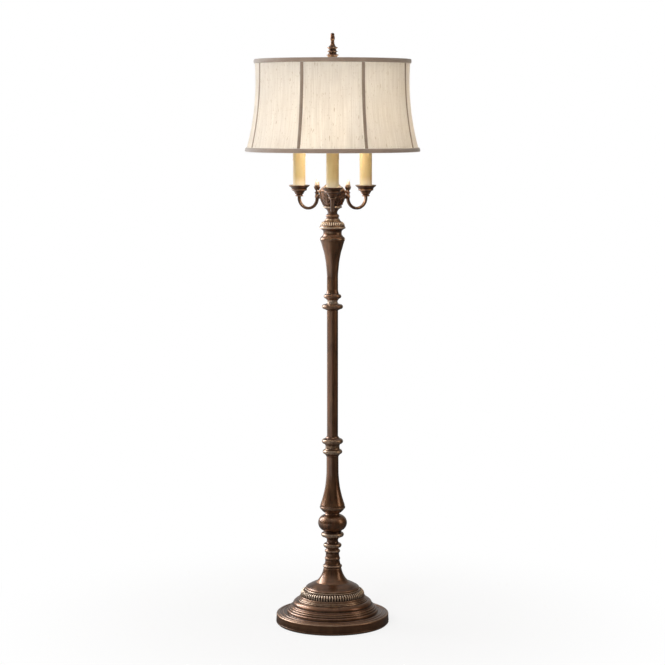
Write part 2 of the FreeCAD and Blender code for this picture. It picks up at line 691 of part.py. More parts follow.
def rib_offset():
    return -FABRIC_T - SEAT_GAP - RIB_WIRE_R


def wire_ring(radius, z):
    return Part.makeTorus(radius, RING_WIRE_R, vec(0, 0, z))


def top_ring_r():
    return SHADE_TOP_R - FABRIC_T - TRIM_T - 2 * SEAT_GAP - RING_WIRE_R


def wire_level():
    """Height of the spokes and of the top ring, just clear of the seat under the hub."""
    return z_hub + SPOKE_R + SEAT_GAP


def bottom_ring_z():
    return z_shade_bottom + TRIM_T + SEAT_GAP + RING_WIRE_R


def bottom_ring_r():
    return shade_r(bottom_ring_z()) - FABRIC_T - TRIM_T - 2 * SEAT_GAP - RING_WIRE_R


def spider():
    """Hub washer, spokes and top wire ring, brazed into one."""
    level = wire_level()
    body = rod(HUB_R, z_hub, z_hub + HUB_T)
    for k in range(SPOKE_COUNT):
        spoke = move(lay_outwards(rod(SPOKE_R, HUB_R - SPOKE_LAP, top_ring_r())), 0, 0, level)
        body = body.fuse(turn_about_axis(spoke, k * 360.0 / SPOKE_COUNT))
    body = body.fuse(wire_ring(top_ring_r(), level)).removeSplitter()
    return body.cut(rod(HUB_HOLE_R, z_hub - PAST, z_hub + HUB_T + PAST))


def rib():
    """One rib wire: the arc of the flare, then straight up to the top ring.

    Its foot is cut square to the slanting wire, so it starts half a wire radius higher.
    """
    low = bottom_ring_z() + RING_WIRE_R + SEAT_GAP + RIB_WIRE_R / 2
    high = wire_level() - RING_WIRE_R - SEAT_GAP
    centre = vec(SHADE_TOP_R + flare_r(), 0, z_shade_bend)
    sweep = math.degrees(math.asin((z_shade_bend - low) / flare_r()))
    disc = round_section(SHADE_TOP_R + rib_offset(), z_shade_bend, RIB_WIRE_R)
    flare = disc.revolve(centre, AXIS_Y, -sweep)
    upright = move(rod(RIB_WIRE_R, z_shade_bend, high), SHADE_TOP_R + rib_offset(), 0, 0)
    return flare.fuse(upright).removeSplitter()


def rib_angles():
    return [RIB_FIRST_ANGLE + k * 360.0 / RIB_COUNT for k in range(RIB_COUNT)]


def shade_ribs():
    return Part.makeCompound([turn_about_axis(rib(), angle) for angle in rib_angles()])


def shade_fabric():
    return skin(-FABRIC_T, 0, z_shade_bottom + TRIM_T + SEAT_GAP, z_shade_top - TRIM_T - SEAT_GAP)


def shade_liner():
    outer = -FABRIC_T - 2 * SEAT_GAP - 2 * RIB_WIRE_R
    low = bottom_ring_z() + RING_WIRE_R + SEAT_GAP
    high = wire_level() - SPOKE_R - SEAT_GAP
    return skin(outer - LINER_T, outer, low, high)


def folded_trim(low, high, fold_low, fold_high, edge_low, edge_high):
    """Binding tape folded over an edge: an outer leg, a short inner leg and the fold between."""
    outer = skin(SEAT_GAP, SEAT_GAP + TRIM_T, low, high)
    inner = skin(-FABRIC_T - SEAT_GAP - TRIM_T, -FABRIC_T - SEAT_GAP, fold_low, fold_high)
    fold = skin(-FABRIC_T - SEAT_GAP - TRIM_T, SEAT_GAP + TRIM_T, edge_low, edge_high)
    return outer.fuse(inner).fuse(fold).removeSplitter()


def top_trim():
    top = z_shade_top
    return folded_trim(top - TRIM_H, top, top - TRIM_FOLD, top, top - TRIM_T, top)


def bottom_trim():
    low = z_shade_bottom
    return folded_trim(low, low + TRIM_H, low, low + TRIM_FOLD, low, low + TRIM_T)


def rib_tapes():
    """A tape over each rib, between the two folded trims."""
    low = z_shade_bottom + TRIM_H + SEAT_GAP
    high = z_shade_top - TRIM_H - SEAT_GAP
    layer = skin(SEAT_GAP, SEAT_GAP + TRIM_T, low, high)
    tapes = []
    for angle in rib_angles():
        slot = Part.makeBox(shade_bottom_r(), TAPE_W, SHADE_H, vec(HUB_R, -TAPE_W / 2, z_shade_bottom))
        tapes.append(layer.common(turn_about_axis(slot, angle)))
    return Part.makeCompound(tapes)


def save(name, shape):
    shape.exportStep("parts/" + name + ".step")


def save_group(name, pieces):
    save(name, Part.makeCompound(pieces))


def save_each(name, pieces):
    for number, piece in enumerate(pieces, start=1):
        save(name + "_" + str(number), piece)


# Foot and column
save("felt_pad", tube(FELT_R, FELT_HOLE_R, 0, FELT_T))
save("base_weight", base_weight())
save("foot_plate", foot_plate())
save("cord_bushing", cord_bushing())
save("base_washer", tube(WASHER_R, BORE, z_washer, z_washer + WASHER_T))
save("pipe_nuts", pipe_nuts())
save("centre_pipe", centre_pipe())
save("gadroon_ring", turned(GADROON_RING, z_gadroon, BORE))
save("base_bell", hollow_casting(BASE_BELL, z_bell, BELL_CORE_R))
save("ringed_neck", turned(RINGED_NECK, z_neck, BORE))
save("lower_spool", turned(LOWER_SPOOL, z_spool, BORE))
save("ball_knop", hollow_casting(BALL_KNOP, z_ball, BALL_CORE_R))
save("lower_baluster", hollow_casting(LOWER_BALUSTER, z_baluster, BALUSTER_CORE_R))
save("lower_collar", lower_collar())
save("shaft_tube", tube(SHAFT_R, SHAFT_R - SHAFT_WALL, z_shaft, z_upper_collar))
save("upper_collar", upper_collar())
save("upper_baluster", hollow_casting(UPPER_BALUSTER, z_upper_baluster, UPPER_BALUSTER_CORE_R))
save("upper_cap", turned(UPPER_CAP, z_cap, BORE))
save("dome_flange", turned(DOME_FLANGE, z_flange, BORE))

# Urn, stem and finial
save("urn_foot", turned(URN_FOOT, z_urn_foot, BORE))
save("urn_body", urn_body())
save("urn_lid", urn_lid())
save("stem_tube", stem_tube())
save("shade_seat", shade_seat())
save("finial", finial())

# Arms, candles and bulbs
save_each("arm", around(arm()))
save_each("arm_bud", around(arm_bud()))
save_each("drip_cup", around(drip_cup()))
save_each("candle", around(candle()))
save_each("socket", around(socket()))
save_each("bulb", around(bulb()))
save_each("bulb_cap", around(bulb_cap()))
save_group("arm_nipples", around(arm_nipple()))
save_group("arm_nuts", around(arm_nuts()))
save_group("arm_leads", around(arm_lead()))
save_group("wire_nuts", around(wire_nut()))
save_group("socket_legs", around(socket_leg()))
save_group("screw_shells", around(screw_shell()))

# Shade
save("spider", spider())
save("shade_ribs", shade_ribs())
save("bottom_ring", wire_ring(bottom_ring_r(), bottom_ring_z()))
save("shade_fabric", shade_fabric())
save("shade_liner", shade_liner())
save("top_trim", top_trim())
save("bottom_trim", bottom_trim())
save("rib_tapes", rib_tapes())
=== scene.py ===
import math

import bmesh
import bpy
import numpy as np
from mathutils import Matrix, Vector


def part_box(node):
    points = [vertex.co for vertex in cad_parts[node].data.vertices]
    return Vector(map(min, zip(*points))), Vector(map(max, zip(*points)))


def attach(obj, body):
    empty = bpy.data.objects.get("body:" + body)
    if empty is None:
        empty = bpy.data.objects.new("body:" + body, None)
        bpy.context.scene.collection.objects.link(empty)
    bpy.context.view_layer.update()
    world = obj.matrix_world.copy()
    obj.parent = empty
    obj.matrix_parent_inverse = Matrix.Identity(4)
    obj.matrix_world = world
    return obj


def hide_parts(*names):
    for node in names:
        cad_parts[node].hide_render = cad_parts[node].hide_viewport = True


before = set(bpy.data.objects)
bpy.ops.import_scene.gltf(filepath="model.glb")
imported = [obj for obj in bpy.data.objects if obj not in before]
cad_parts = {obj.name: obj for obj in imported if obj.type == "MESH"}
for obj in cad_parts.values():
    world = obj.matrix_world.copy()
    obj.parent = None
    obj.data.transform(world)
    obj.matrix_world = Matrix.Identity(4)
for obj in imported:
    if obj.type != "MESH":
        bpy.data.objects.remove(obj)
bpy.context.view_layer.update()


# Camera, lamps and floor
# The lamp stands on a pale floor before a white backdrop. Large soft lamps light it from the left and
# front, and a weak warm one from the right. Polished metal sees more of the lamps and a dimmer room.

MM = 0.001

EYE = (0, -5.663, 1.454)
EYE_PITCH = 6.25            # degrees below level
FOCAL = 109.35              # mm
SENSOR_WIDTH = 36           # mm

KEY_PLACE = (-3.25, 0.87, 2.4)
KEY_SIZE = (1.9, 2.6)
KEY_POWER = 45.0
KEY_IN_METAL = 105.0        # the same lamp's further share that only polished metal sees
EDGE_PLACE = (-2.9, 2.2, 2.2)
EDGE_SIZE = (1.2, 2.6)
EDGE_IN_METAL = 75.0
FRONT_PLACE = (-2.1, -4.0, 2.6)
FRONT_SIZE = (1.4, 1.4)
FRONT_POWER = 110.0
FILL_PLACE = (3.2, -0.9, 1.9)
FILL_SIZE = (1.2, 2.2)
FILL_POWER = 13.0
FILL_COLOUR = (1.0, 0.80, 0.62)
LAMP_AIM = (0, 0, 0.95)
ROOM_LEVEL = 0.28           # light of the room on matt surfaces
ROOM_FRONT = 0.045          # what polished metal sees in front of the object
ROOM_ABOVE = 0.34
ROOM_WARM = (1.0, 0.82, 0.62, 1)  # the room at the right, away from the lamps
WARM_SPREAD = (-0.1, 0.9)   # how far to the right that warmth comes in, along the way seen
CEILING_SPREAD = (0.35, 0.9)
BACKDROP_WHITE = 1.0
BACKDROP_IN_METAL = 0.35
BACKDROP_SPREAD = (0.5, 1.0)
# What metal sees of the floor is a painted glow: dim at the right, and a painted pool of the lamps' light
# on their side.
FLOOR_IN_METAL = (0.06, 0.75)  # at the right of the column, and on the lamps' side
FLOOR_LIT_X = (0.0, -1.6)   # where the first of these gives way to the second

FLOOR_R = 9.0
FLOOR_SIDES = 96
FLOOR_DROP = 0.2 * MM       # the felt just stands clear of it
FLOOR_SHADE_R = (0.2, 1.1)  # the floor's own shading fades out between these radii
FLOOR_WHITE_SHARE = 0.84    # how much of it is backdrop white close to the object
FLOOR_COLOUR = (0.93, 0.925, 0.92, 1)

scene = bpy.context.scene
scene.view_settings.view_transform = "Standard"


def node(tree, kind, inputs=None, **settings):
    """A node with its settings, and each input set to a value or fed by another node's output."""
    made = tree.nodes.new(kind)
    for name, value in settings.items():
        setattr(made, name, value)
    for name, value in (inputs or {}).items():
        if isinstance(value, bpy.types.NodeSocket):
            tree.links.new(value, made.inputs[name])
        else:
            made.inputs[name].default_value = value
    return made


def calc(tree, operation, *values, clamp=False):
    inputs = {number: value for number, value in enumerate(values)}
    return node(tree, "ShaderNodeMath", inputs, operation=operation, use_clamp=clamp).outputs[0]


def scaled(tree, value, low, high, to_low=0.0, to_high=1.0):
    """A value between low and high, carried over smoothly to the other range and clamped there."""
    inputs = {"Value": value, "From Min": low, "From Max": high, "To Min": to_low, "To Max": to_high}
    return node(tree, "ShaderNodeMapRange", inputs, interpolation_type="SMOOTHSTEP").outputs[0]


def blend_colour(tree, share, first, second):
    return node(tree, "ShaderNodeMix", {0: share, 6: first, 7: second}, data_type="RGBA").outputs[2]


def link_to_scene(made):
    scene.collection.objects.link(made)
    return made


def soft_lamp(name, place, size, power, colour=(1, 1, 1), in_metal=True, on_matt=True):
    lamp = bpy.data.lights.new(name, "AREA")
    lamp.shape = "RECTANGLE"
    lamp.size, lamp.size_y = size
    lamp.energy = power
    lamp.color = colour
    made = link_to_scene(bpy.data.objects.new(name, lamp))
    made.location = place
    made.rotation_euler = (Vector(LAMP_AIM) - Vector(place)).to_track_quat("-Z", "Y").to_euler()
    made.visible_glossy = in_metal
    made.visible_diffuse = on_matt


def seen_by_eye(tree):
    """1 on the rays that show the backdrop to the camera or through glass, and 1 on those in metal."""
    path = node(tree, "ShaderNodeLightPath")
    seen = calc(tree, "MAXIMUM", path.outputs["Is Camera Ray"], path.outputs["Is Transmission Ray"])
    return seen, path.outputs["Is Glossy Ray"]


def light_the_room():
    world = bpy.data.worlds.new("white_room")
    world.use_nodes = True
    tree = world.node_tree
    tree.nodes.clear()
    seen, mirrored = seen_by_eye(tree)
    way = node(tree, "ShaderNodeTexCoord").outputs["Generated"]
    way = node(tree, "ShaderNodeSeparateXYZ", {0: way}).outputs
    behind = scaled(tree, way["Y"], *BACKDROP_SPREAD, ROOM_FRONT, BACKDROP_IN_METAL)
    above = scaled(tree, way["Z"], *CEILING_SPREAD, ROOM_FRONT, ROOM_ABOVE)
    in_metal = calc(tree, "MAXIMUM", behind, above)
    further = calc(tree, "MULTIPLY", mirrored, calc(tree, "SUBTRACT", in_metal, ROOM_LEVEL))
    level = calc(tree, "ADD", ROOM_LEVEL, further)
    level = calc(tree, "MAXIMUM", level, calc(tree, "MULTIPLY", seen, BACKDROP_WHITE))
    warm = calc(tree, "MULTIPLY", scaled(tree, way["X"], *WARM_SPREAD), calc(tree, "SUBTRACT", 1, seen))
    colour = blend_colour(tree, warm, (1, 1, 1, 1), ROOM_WARM)
    light = node(tree, "ShaderNodeBackground", {"Color": colour, "Strength": level})
    node(tree, "ShaderNodeOutputWorld", {"Surface": light.outputs[0]})
    scene.world = world


def new_material(name):
    material = bpy.data.materials.new(name)
    material.use_nodes = True
    tree = material.node_tree
    tree.nodes.clear()
    return material, tree


def floor_material():
    """Matt pale paint near the object, and plain white further off, where the backdrop begins.

    Polished metal sees the floor dimmer, as under the low lamps of the photograph.
    """
    material, tree = new_material("studio_floor")
    seen, mirrored = seen_by_eye(tree)
    place = node(tree, "ShaderNodeTexCoord").outputs["Object"]
    radius = node(tree, "ShaderNodeVectorMath", {0: place}, operation="LENGTH").outputs["Value"]
    far = scaled(tree, radius, *FLOOR_SHADE_R, FLOOR_WHITE_SHARE, 1)
    paint = node(tree, "ShaderNodeBsdfDiffuse", {"Color": FLOOR_COLOUR})
    white = node(tree, "ShaderNodeEmission", {"Color": (1, 1, 1, 1), "Strength": BACKDROP_WHITE})
    share = calc(tree, "MULTIPLY", seen, far)
    mixed = node(tree, "ShaderNodeMixShader", {0: share, 1: paint.outputs[0], 2: white.outputs[0]})
    # In metal the floor is a painted glow: dim at the right of the column and brighter on the lamps' side,
    # a painted pool of their light.
    across = node(tree, "ShaderNodeSeparateXYZ", {0: place}).outputs["X"]
    lit = scaled(tree, across, *FLOOR_LIT_X, *FLOOR_IN_METAL)
    dim = node(tree, "ShaderNodeEmission", {"Color": (1, 1, 1, 1), "Strength": lit})
    mixed = node(tree, "ShaderNodeMixShader", {0: mirrored, 1: mixed.outputs[0], 2: dim.outputs[0]})
    node(tree, "ShaderNodeOutputMaterial", {"Surface": mixed.outputs[0]})
    return material


def lay_floor():
    mesh = bpy.data.meshes.new("studio_floor")
    shape = bmesh.new()
    under = Matrix.Translation((0, 0, -FLOOR_DROP))
    bmesh.ops.create_circle(shape, cap_ends=True, radius=FLOOR_R, segments=FLOOR_SIDES, matrix=under)
    shape.to_mesh(mesh)
    mesh.materials.append(floor_material())
    link_to_scene(bpy.data.objects.new("studio_floor", mesh))


eye = bpy.data.cameras.new("camera")
eye.lens = FOCAL
eye.sensor_width = SENSOR_WIDTH
camera = link_to_scene(bpy.data.objects.new("camera", eye))
camera.location = EYE
camera.rotation_euler = (math.radians(90 - EYE_PITCH), 0, 0)
scene.camera = camera
soft_lamp("key_lamp", KEY_PLACE, KEY_SIZE, KEY_POWER)
soft_lamp("front_lamp", FRONT_PLACE, FRONT_SIZE, FRONT_POWER, in_metal=False)
soft_lamp("fill_lamp", FILL_PLACE, FILL_SIZE, FILL_POWER, FILL_COLOUR)
soft_lamp("key_lamp_in_metal", KEY_PLACE, KEY_SIZE, KEY_IN_METAL, on_matt=False)
soft_lamp("edge_lamp_in_metal", EDGE_PLACE, EDGE_SIZE, EDGE_IN_METAL, on_matt=False)
light_the_room()
lay_floor()


# Felt, weight and the fixings inside the column
# A felt ring under the foot, a cast iron weight, and the steel pipe, washer and nuts that clamp
# the column. The supply lead would come in through a moulded bushing in the rear of the rim.

FELT_COLOUR = (0.012, 0.011, 0.010, 1)
FELT_FLECK = (0.045, 0.040, 0.034, 1)
IRON_COLOUR = (0.055, 0.052, 0.050, 1)
IRON_RUST = (0.085, 0.036, 0.020, 1)
ZINC_COLOUR = (0.52, 0.53, 0.55, 1)
ZINC_DULL = (0.30, 0.31, 0.33, 1)
BUSHING_COLOUR = (0.016, 0.013, 0.011, 1)
BUSHING_SCUFF = (0.05, 0.042, 0.036, 1)


def object_place(tree, stretch=(1, 1, 1)):
    """The point on the piece in metres, with each axis stretched for patterns that run one way."""
    place = node(tree, "ShaderNodeTexCoord").outputs["Object"]
    if stretch == (1, 1, 1):
        return place
    return node(tree, "ShaderNodeMapping", {"Vector": place, "Scale": stretch}).outputs[0]


def noise(tree, place, scale, detail=4.0, roughness=0.55, distortion=0.0):
    inputs = {"Vector": place, "Scale": scale, "Detail": detail, "Roughness": roughness,
              "Distortion": distortion}
    return node(tree, "ShaderNodeTexNoise", inputs).outputs[0]


def pits(tree, place, scale):
    """The distance from the nearest of scattered points."""
    return node(tree, "ShaderNodeTexVoronoi", {"Vector": place, "Scale": scale}).outputs["Distance"]


def bump(tree, height, depth, strength=1.0, under=None):
    inputs = {"Height": height, "Distance": depth, "Strength": strength}
    if under is not None:
        inputs["Normal"] = under
    return node(tree, "ShaderNodeBump", inputs).outputs[0]


def finish_with(tree, **inputs):
    """Close a material with one shader. Underscores in the names stand for spaces."""
    named = {name.replace("_", " "): value for name, value in inputs.items()}
    shader = node(tree, "ShaderNodeBsdfPrincipled", named)
    node(tree, "ShaderNodeOutputMaterial", {"Surface": shader.outputs[0]})


def mottled(name, colour, other, scale, depth, roughness, metallic=0.0):
    """A surface of two colours in soft patches, with a fine grain in its relief and gloss."""
    material, tree = new_material(name)
    place = object_place(tree)
    patch = noise(tree, place, scale, 5.0, 0.6)
    grain = noise(tree, place, scale * 9, 3.0)
    mixed = blend_colour(tree, scaled(tree, patch, 0.4, 0.66), colour, other)
    gloss = scaled(tree, grain, 0.3, 0.7, roughness - 0.07, roughness + 0.09)
    relief = bump(tree, calc(tree, "ADD", grain, calc(tree, "MULTIPLY", patch, 0.6)), depth)
    finish_with(tree, Base_Color=mixed, Roughness=gloss, Normal=relief, Metallic=metallic)
    return material


def dress(material, *names):
    """Give CAD pieces that keep their own shape a finish."""
    for name in names:
        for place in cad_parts[name].material_slots:
            place.material = material


zinc = mottled("zinc_plated_steel", ZINC_COLOUR, ZINC_DULL, 140, 0.05 * MM, 0.32, 1.0)
dress(mottled("green_black_felt", FELT_COLOUR, FELT_FLECK, 900, 0.5 * MM, 0.95), "felt_pad")
dress(mottled("cast_iron", IRON_COLOUR, IRON_RUST, 70, 0.4 * MM, 0.62, 0.6), "base_weight")
dress(mottled("black_bushing", BUSHING_COLOUR, BUSHING_SCUFF, 260, 0.05 * MM, 0.42), "cord_bushing")
dress(zinc, "base_washer", "pipe_nuts", "centre_pipe", "arm_nipples")


# Foot, column and urn
# Turned brass castings with a dark bronze patina, stacked on the clamped pipe. The makers rub the
# rings and crests back to gold and leave the patina in the hollows. Each is turned from its section.

SEAM = 1e-6                 # points nearer than this to the cutting plane lie on it
SAMPLE = 0.4 * MM           # spacing of an outline while it is worked on
EDGE_SOFTNESS = 0.4 * MM    # how far the casting rounds a turned corner
CREST_REACH = 2.4 * MM      # a crest stands out from the outline's mean over this stretch
CREST_REACH_SHARE = 0.09    # on small pieces, over this share of their radius
CREST_FULL = 0.31           # by this share of that stretch where it is rubbed bare
TURN_KEPT = math.radians(7)  # an outline keeps a point for each turn of this much
RUN_KEPT = 3.0 * MM         # and for each straight run of this length
BEND_SEEN = math.radians(0.6)  # a point that turns less than this lies on a straight run
CHORD = 1.7 * MM            # flats round the turned pieces
FEWEST_SIDES, MOST_SIDES = 64, 320


def section_of(name, angle=0.0, reach=0.0):
    """The outline of a turned CAD piece as radius and height, up its outside and down its bore.

    The angle and reach are where the piece's own axis stands round the column, in degrees and metres.
    """
    shape = bmesh.new()
    shape.from_mesh(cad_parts[name].data)
    shape.transform(Matrix.Translation((-reach, 0, 0)) @ Matrix.Rotation(math.radians(-angle), 4, "Z"))
    bmesh.ops.remove_doubles(shape, verts=shape.verts, dist=SEAM)
    for across, clear in (((1, 0, 0), True), ((0, 1, 0), False)):
        parts = shape.verts[:] + shape.edges[:] + shape.faces[:]
        cut = bmesh.ops.bisect_plane(shape, geom=parts, dist=SEAM, plane_co=(0, 0, 0),
                                     plane_no=across, clear_inner=clear)
    nearby = {}
    for edge in cut["geom_cut"]:
        if isinstance(edge, bmesh.types.BMEdge):
            first, second = edge.verts
            nearby.setdefault(first, []).append(second)
            nearby.setdefault(second, []).append(first)
    ends = [point for point in nearby if len(nearby[point]) == 1]
    here = min(ends or nearby, key=lambda point: (round(point.co.z, 5), -point.co.x))
    walked = [here]
    seen = {here}
    while True:
        onward = [point for point in nearby[here] if point not in seen]
        if not onward:
            break
        here = onward[0]
        seen.add(here)
        walked.append(here)
    outline = np.array([(point.co.x, point.co.z) for point in walked])
    shape.free()
    return with_outside_on_right(outline), not ends


def with_outside_on_right(outline):
    """The outline turned so that the metal lies on the left of the way along it."""
    x, z = outline.T
    area = np.sum(x * np.roll(z, -1) - np.roll(x, -1) * z)
    return outline if area > 0 else outline[::-1]


def respaced(outline, closed, spacing):
    """The same line in even steps."""
    line = np.vstack([outline, outline[:1]]) if closed else outline
    along = np.concatenate([[0], np.cumsum(np.hypot(*np.diff(line, axis=0).T))])
    places = np.linspace(0, along[-1], max(int(along[-1] / spacing), 8) + 1)
    made = np.column_stack([np.interp(places, along, line[:, axis]) for axis in (0, 1)])
    return made[:-1] if closed else made


def averaged(line, closed, reach):
    """The line averaged over a bell of that reach. An open line goes on mirrored past the axis."""
    width = reach / SAMPLE
    half = int(3 * width) + 1
    bell = np.exp(-0.5 * (np.arange(-half, half + 1) / width) ** 2)
    bell /= bell.sum()
    count = len(line)
    order = np.arange(-half, count + half)
    if closed:
        long = line[order % count]
    else:
        mirrored = (order < 0) | (order >= count)
        inside = np.where(order < 0, -order, np.where(order >= count, 2 * count - 2 - order, order))
        long = line[inside] * np.where(mirrored[:, None], (-1, 1), (1, 1))
    made = np.column_stack([np.convolve(long[:, axis], bell, "valid") for axis in (0, 1)])
    if not closed:
        made[[0, -1], 0] = 0
    return made


def outwards(line):
    """Unit vectors that point out of the metal, at each point of a line."""
    way = np.gradient(line, axis=0)
    way /= np.maximum(np.hypot(*way.T), SEAM)[:, None]
    return np.column_stack([way[:, 1], -way[:, 0]])


def points_to_keep(line):
    """Numbers of the points that hold the line's shape: more in its bends, few on its straights."""
    way = np.diff(line, axis=0)
    heading = np.arctan2(way[:, 1], way[:, 0])
    turn = np.abs((np.diff(heading) + math.pi) % (2 * math.pi) - math.pi)
    length = np.hypot(*way.T)
    kept = [0]
    turned, run = 0.0, 0.0
    bent = turn > BEND_SEEN
    for number in range(1, len(line) - 1):
        turned += turn[number - 1]
        run += length[number - 1]
        starts_or_ends = number > 1 and bent[number - 1] != bent[number - 2]
        if turned > TURN_KEPT or run > RUN_KEPT or starts_or_ends:
            kept.append(number)
            turned, run = 0.0, 0.0
    return kept + [len(line) - 1]


def fine_rings(line, rings):
    """The line with shallow rings cut into it: low and high edge, pitch and depth, all in mm."""
    step = np.concatenate([[0], np.cumsum(np.hypot(*np.diff(line, axis=0).T))])
    out = outwards(line)
    cut = line.copy()
    for low, high, pitch, depth in rings:
        radius, height = line.T
        inside = (height > low * MM) & (height < high * MM) & (radius > radius.max() / 2)
        start = step[inside].min()
        wave = 0.5 - 0.5 * np.cos(2 * math.pi * (step - start) / (pitch * MM))
        cut[inside] -= out[inside] * (wave[inside] * depth * MM)[:, None]
    return cut


def worked_outline(outline, closed, softness=EDGE_SOFTNESS, rings=()):
    """An outline with softened edges and fine rings, and how much each point is a crest.

    A crest is 1, and a hollow is -1.
    """
    line = averaged(respaced(outline, closed, SAMPLE), closed, softness)
    line = fine_rings(line, rings)
    reach = min(CREST_REACH, CREST_REACH_SHARE * line[:, 0].max())
    proud = np.sum((line - averaged(line, closed, reach)) * outwards(line), axis=1)
    crest = proud / (CREST_FULL * reach)
    kept = points_to_keep(line)
    return line[kept], np.clip(crest[kept], -1, 1)


def set_attribute(mesh, name, values):
    held = mesh.attributes.new(name, "FLOAT", "POINT")
    held.data.foreach_set("value", np.asarray(values, np.float32))


def sides_for(radius):
    wanted = 2 * math.pi * radius / CHORD
    return int(min(max(wanted, FEWEST_SIDES), MOST_SIDES) / 8) * 8


def lathe(line, closed, sides):
    """The points and faces of a turned piece, and the number on the outline of each point."""
    turn = np.linspace(0, 2 * math.pi, sides, endpoint=False)
    points, rings, on_line = [], [], []
    for number, (radius, height) in enumerate(line):
        if radius < SEAM:
            rings.append([len(points)] * sides)
            points.append((0, 0, height))
            on_line.append(number)
        else:
            rings.append(list(range(len(points), len(points) + sides)))
            points.extend(zip(radius * np.cos(turn), radius * np.sin(turn), [height] * sides))
            on_line.extend([number] * sides)
    faces = []
    pairs = list(zip(rings, rings[1:] + rings[:1])) if closed else list(zip(rings, rings[1:]))
    for low, high in pairs:
        for side in range(sides):
            beside = (side + 1) % sides
            corners = [low[side], low[beside], high[beside], high[side]]
            faces.append(list(dict.fromkeys(corners)))
    return points, faces, on_line


def make_piece(name, points, faces, material, body="stand", stands_for=(), place=None):
    """A piece in the frame, with its place in its mesh."""
    mesh = bpy.data.meshes.new(name)
    mesh.from_pydata(points, [], faces)
    if place is not None:
        mesh.transform(place)
    mesh.shade_smooth()
    mesh.materials.append(material)
    made = link_to_scene(bpy.data.objects.new(name, mesh))
    return place_in_frame(made, body, stands_for)


def place_in_frame(made, body, stands_for):
    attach(made, body)
    if stands_for:
        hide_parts(*stands_for)
    return made


BAND_FADE = 0.6             # mm over which a gilt band starts and ends


def banded(heights, bands):
    """How gilt each height is. A band is its low and high edge in mm above the floor, and its share.

    A share below nothing is patina left dark.
    """
    heights = np.asarray(heights) / MM
    gilt = np.zeros(len(heights))
    for low, high, share in bands:
        begun, left = ((length + BAND_FADE) / (2 * BAND_FADE) for length in (heights - low, high - heights))
        inside = share * np.clip(begun, 0, 1) * np.clip(left, 0, 1)
        gilt = np.where(np.abs(inside) > np.abs(gilt), inside, gilt)
    return gilt


def turned_piece(node_name, material, bands=(), name=None, body="stand",
                 angle=0.0, reach=0.0, softness=EDGE_SOFTNESS, rings=(), reshaped=None):
    """A smooth turned piece in place of a CAD node, with its crests and gilt bands marked.

    reshaped takes the CAD outline and gives the one to turn.
    """
    outline, closed = section_of(node_name, angle, reach)
    if reshaped:
        outline = reshaped(outline)
    line, crest = worked_outline(outline, closed, softness, rings)
    points, faces, on_line = lathe(line, closed, sides_for(line[:, 0].max()))
    place = Matrix.Rotation(math.radians(angle), 4, "Z") @ Matrix.Translation((reach, 0, 0))
    name = name or node_name + "_turned"
    made = make_piece(name, points, faces, material, body, [node_name], place)
    set_attribute(made.data, "crest", crest[on_line])
    set_attribute(made.data, "gilt", banded(line[on_line, 1], bands))
    return made


TURNED_TO = (0.112, 0.150)  # heights between which the turned marks give way to upright ones
PATINA = (0.262, 0.128, 0.058, 1)
PATINA_DEEP = (0.054, 0.0192, 0.0064, 1)
PATINA_RED = (0.275, 0.102, 0.047, 1)
PATINA_PALE = (0.150, 0.105, 0.082, 1)
RUBBED_COPPER = (0.46, 0.275, 0.178, 1)
GOLD_DEEP = (0.20, 0.112, 0.057, 1)
GOLD = (0.43, 0.275, 0.158, 1)
GOLD_PALE = (0.84, 0.66, 0.50, 1)


def turned_place(tree, place):
    """Radius and height as a place, for marks that run round the piece as it was turned."""
    x, y, height = node(tree, "ShaderNodeSeparateXYZ", {0: place}).outputs
    flat = node(tree, "ShaderNodeCombineXYZ", {"X": x, "Y": y}).outputs[0]
    radius = node(tree, "ShaderNodeVectorMath", {0: flat}, operation="LENGTH").outputs["Value"]
    return node(tree, "ShaderNodeCombineXYZ", {"X": radius, "Y": height}).outputs[0]


def blend_value(tree, share, first, second):
    return node(tree, "ShaderNodeMix", {0: share, 2: first, 3: second}, data_type="FLOAT").outputs[0]


def patina_colour(tree, place, crest, gilt):
    """Dark brown patina in soft upright brush marks, some of them red-brown, and deepest in the hollows.

    On the foot the marks run round it. The patina's patches and flecks are given too.
    """
    height = node(tree, "ShaderNodeSeparateXYZ", {0: place}).outputs["Z"]
    cloud = noise(tree, object_place(tree, (1, 1, 0.4)), 42, 4.0, 0.55, 0.3)
    brushed = noise(tree, object_place(tree, (1, 1, 0.09)), 95, 3.0, 0.5)
    streak = noise(tree, object_place(tree, (1, 1, 0.05)), 230, 3.0, 0.55)
    on_foot = scaled(tree, height, *TURNED_TO, 1, 0)
    brushed = blend_value(tree, on_foot, brushed, noise(tree, turned_place(tree, place), 60, 3.0, 0.5))
    streak = blend_value(tree, on_foot, streak, noise(tree, turned_place(tree, place), 300, 2.0, 0.5))
    fleck = noise(tree, place, 190, 4.0, 0.6)
    tone = calc(tree, "ADD", calc(tree, "MULTIPLY", cloud, 0.45), calc(tree, "MULTIPLY", brushed, 0.55))
    colour = blend_colour(tree, scaled(tree, tone, 0.33, 0.60, 0.25, 1), PATINA_DEEP, PATINA)
    colour = blend_colour(tree, scaled(tree, streak, 0.50, 0.68, 0, 0.8), colour, PATINA_RED)
    colour = blend_colour(tree, scaled(tree, fleck, 0.56, 0.74, 0, 0.3), colour, PATINA_PALE)
    hollow = calc(tree, "MAXIMUM", scaled(tree, crest, -0.08, -0.7, 0, 0.95), scaled(tree, gilt, 0.0, -1.0))
    return blend_colour(tree, hollow, colour, PATINA_DEEP), cloud, fleck


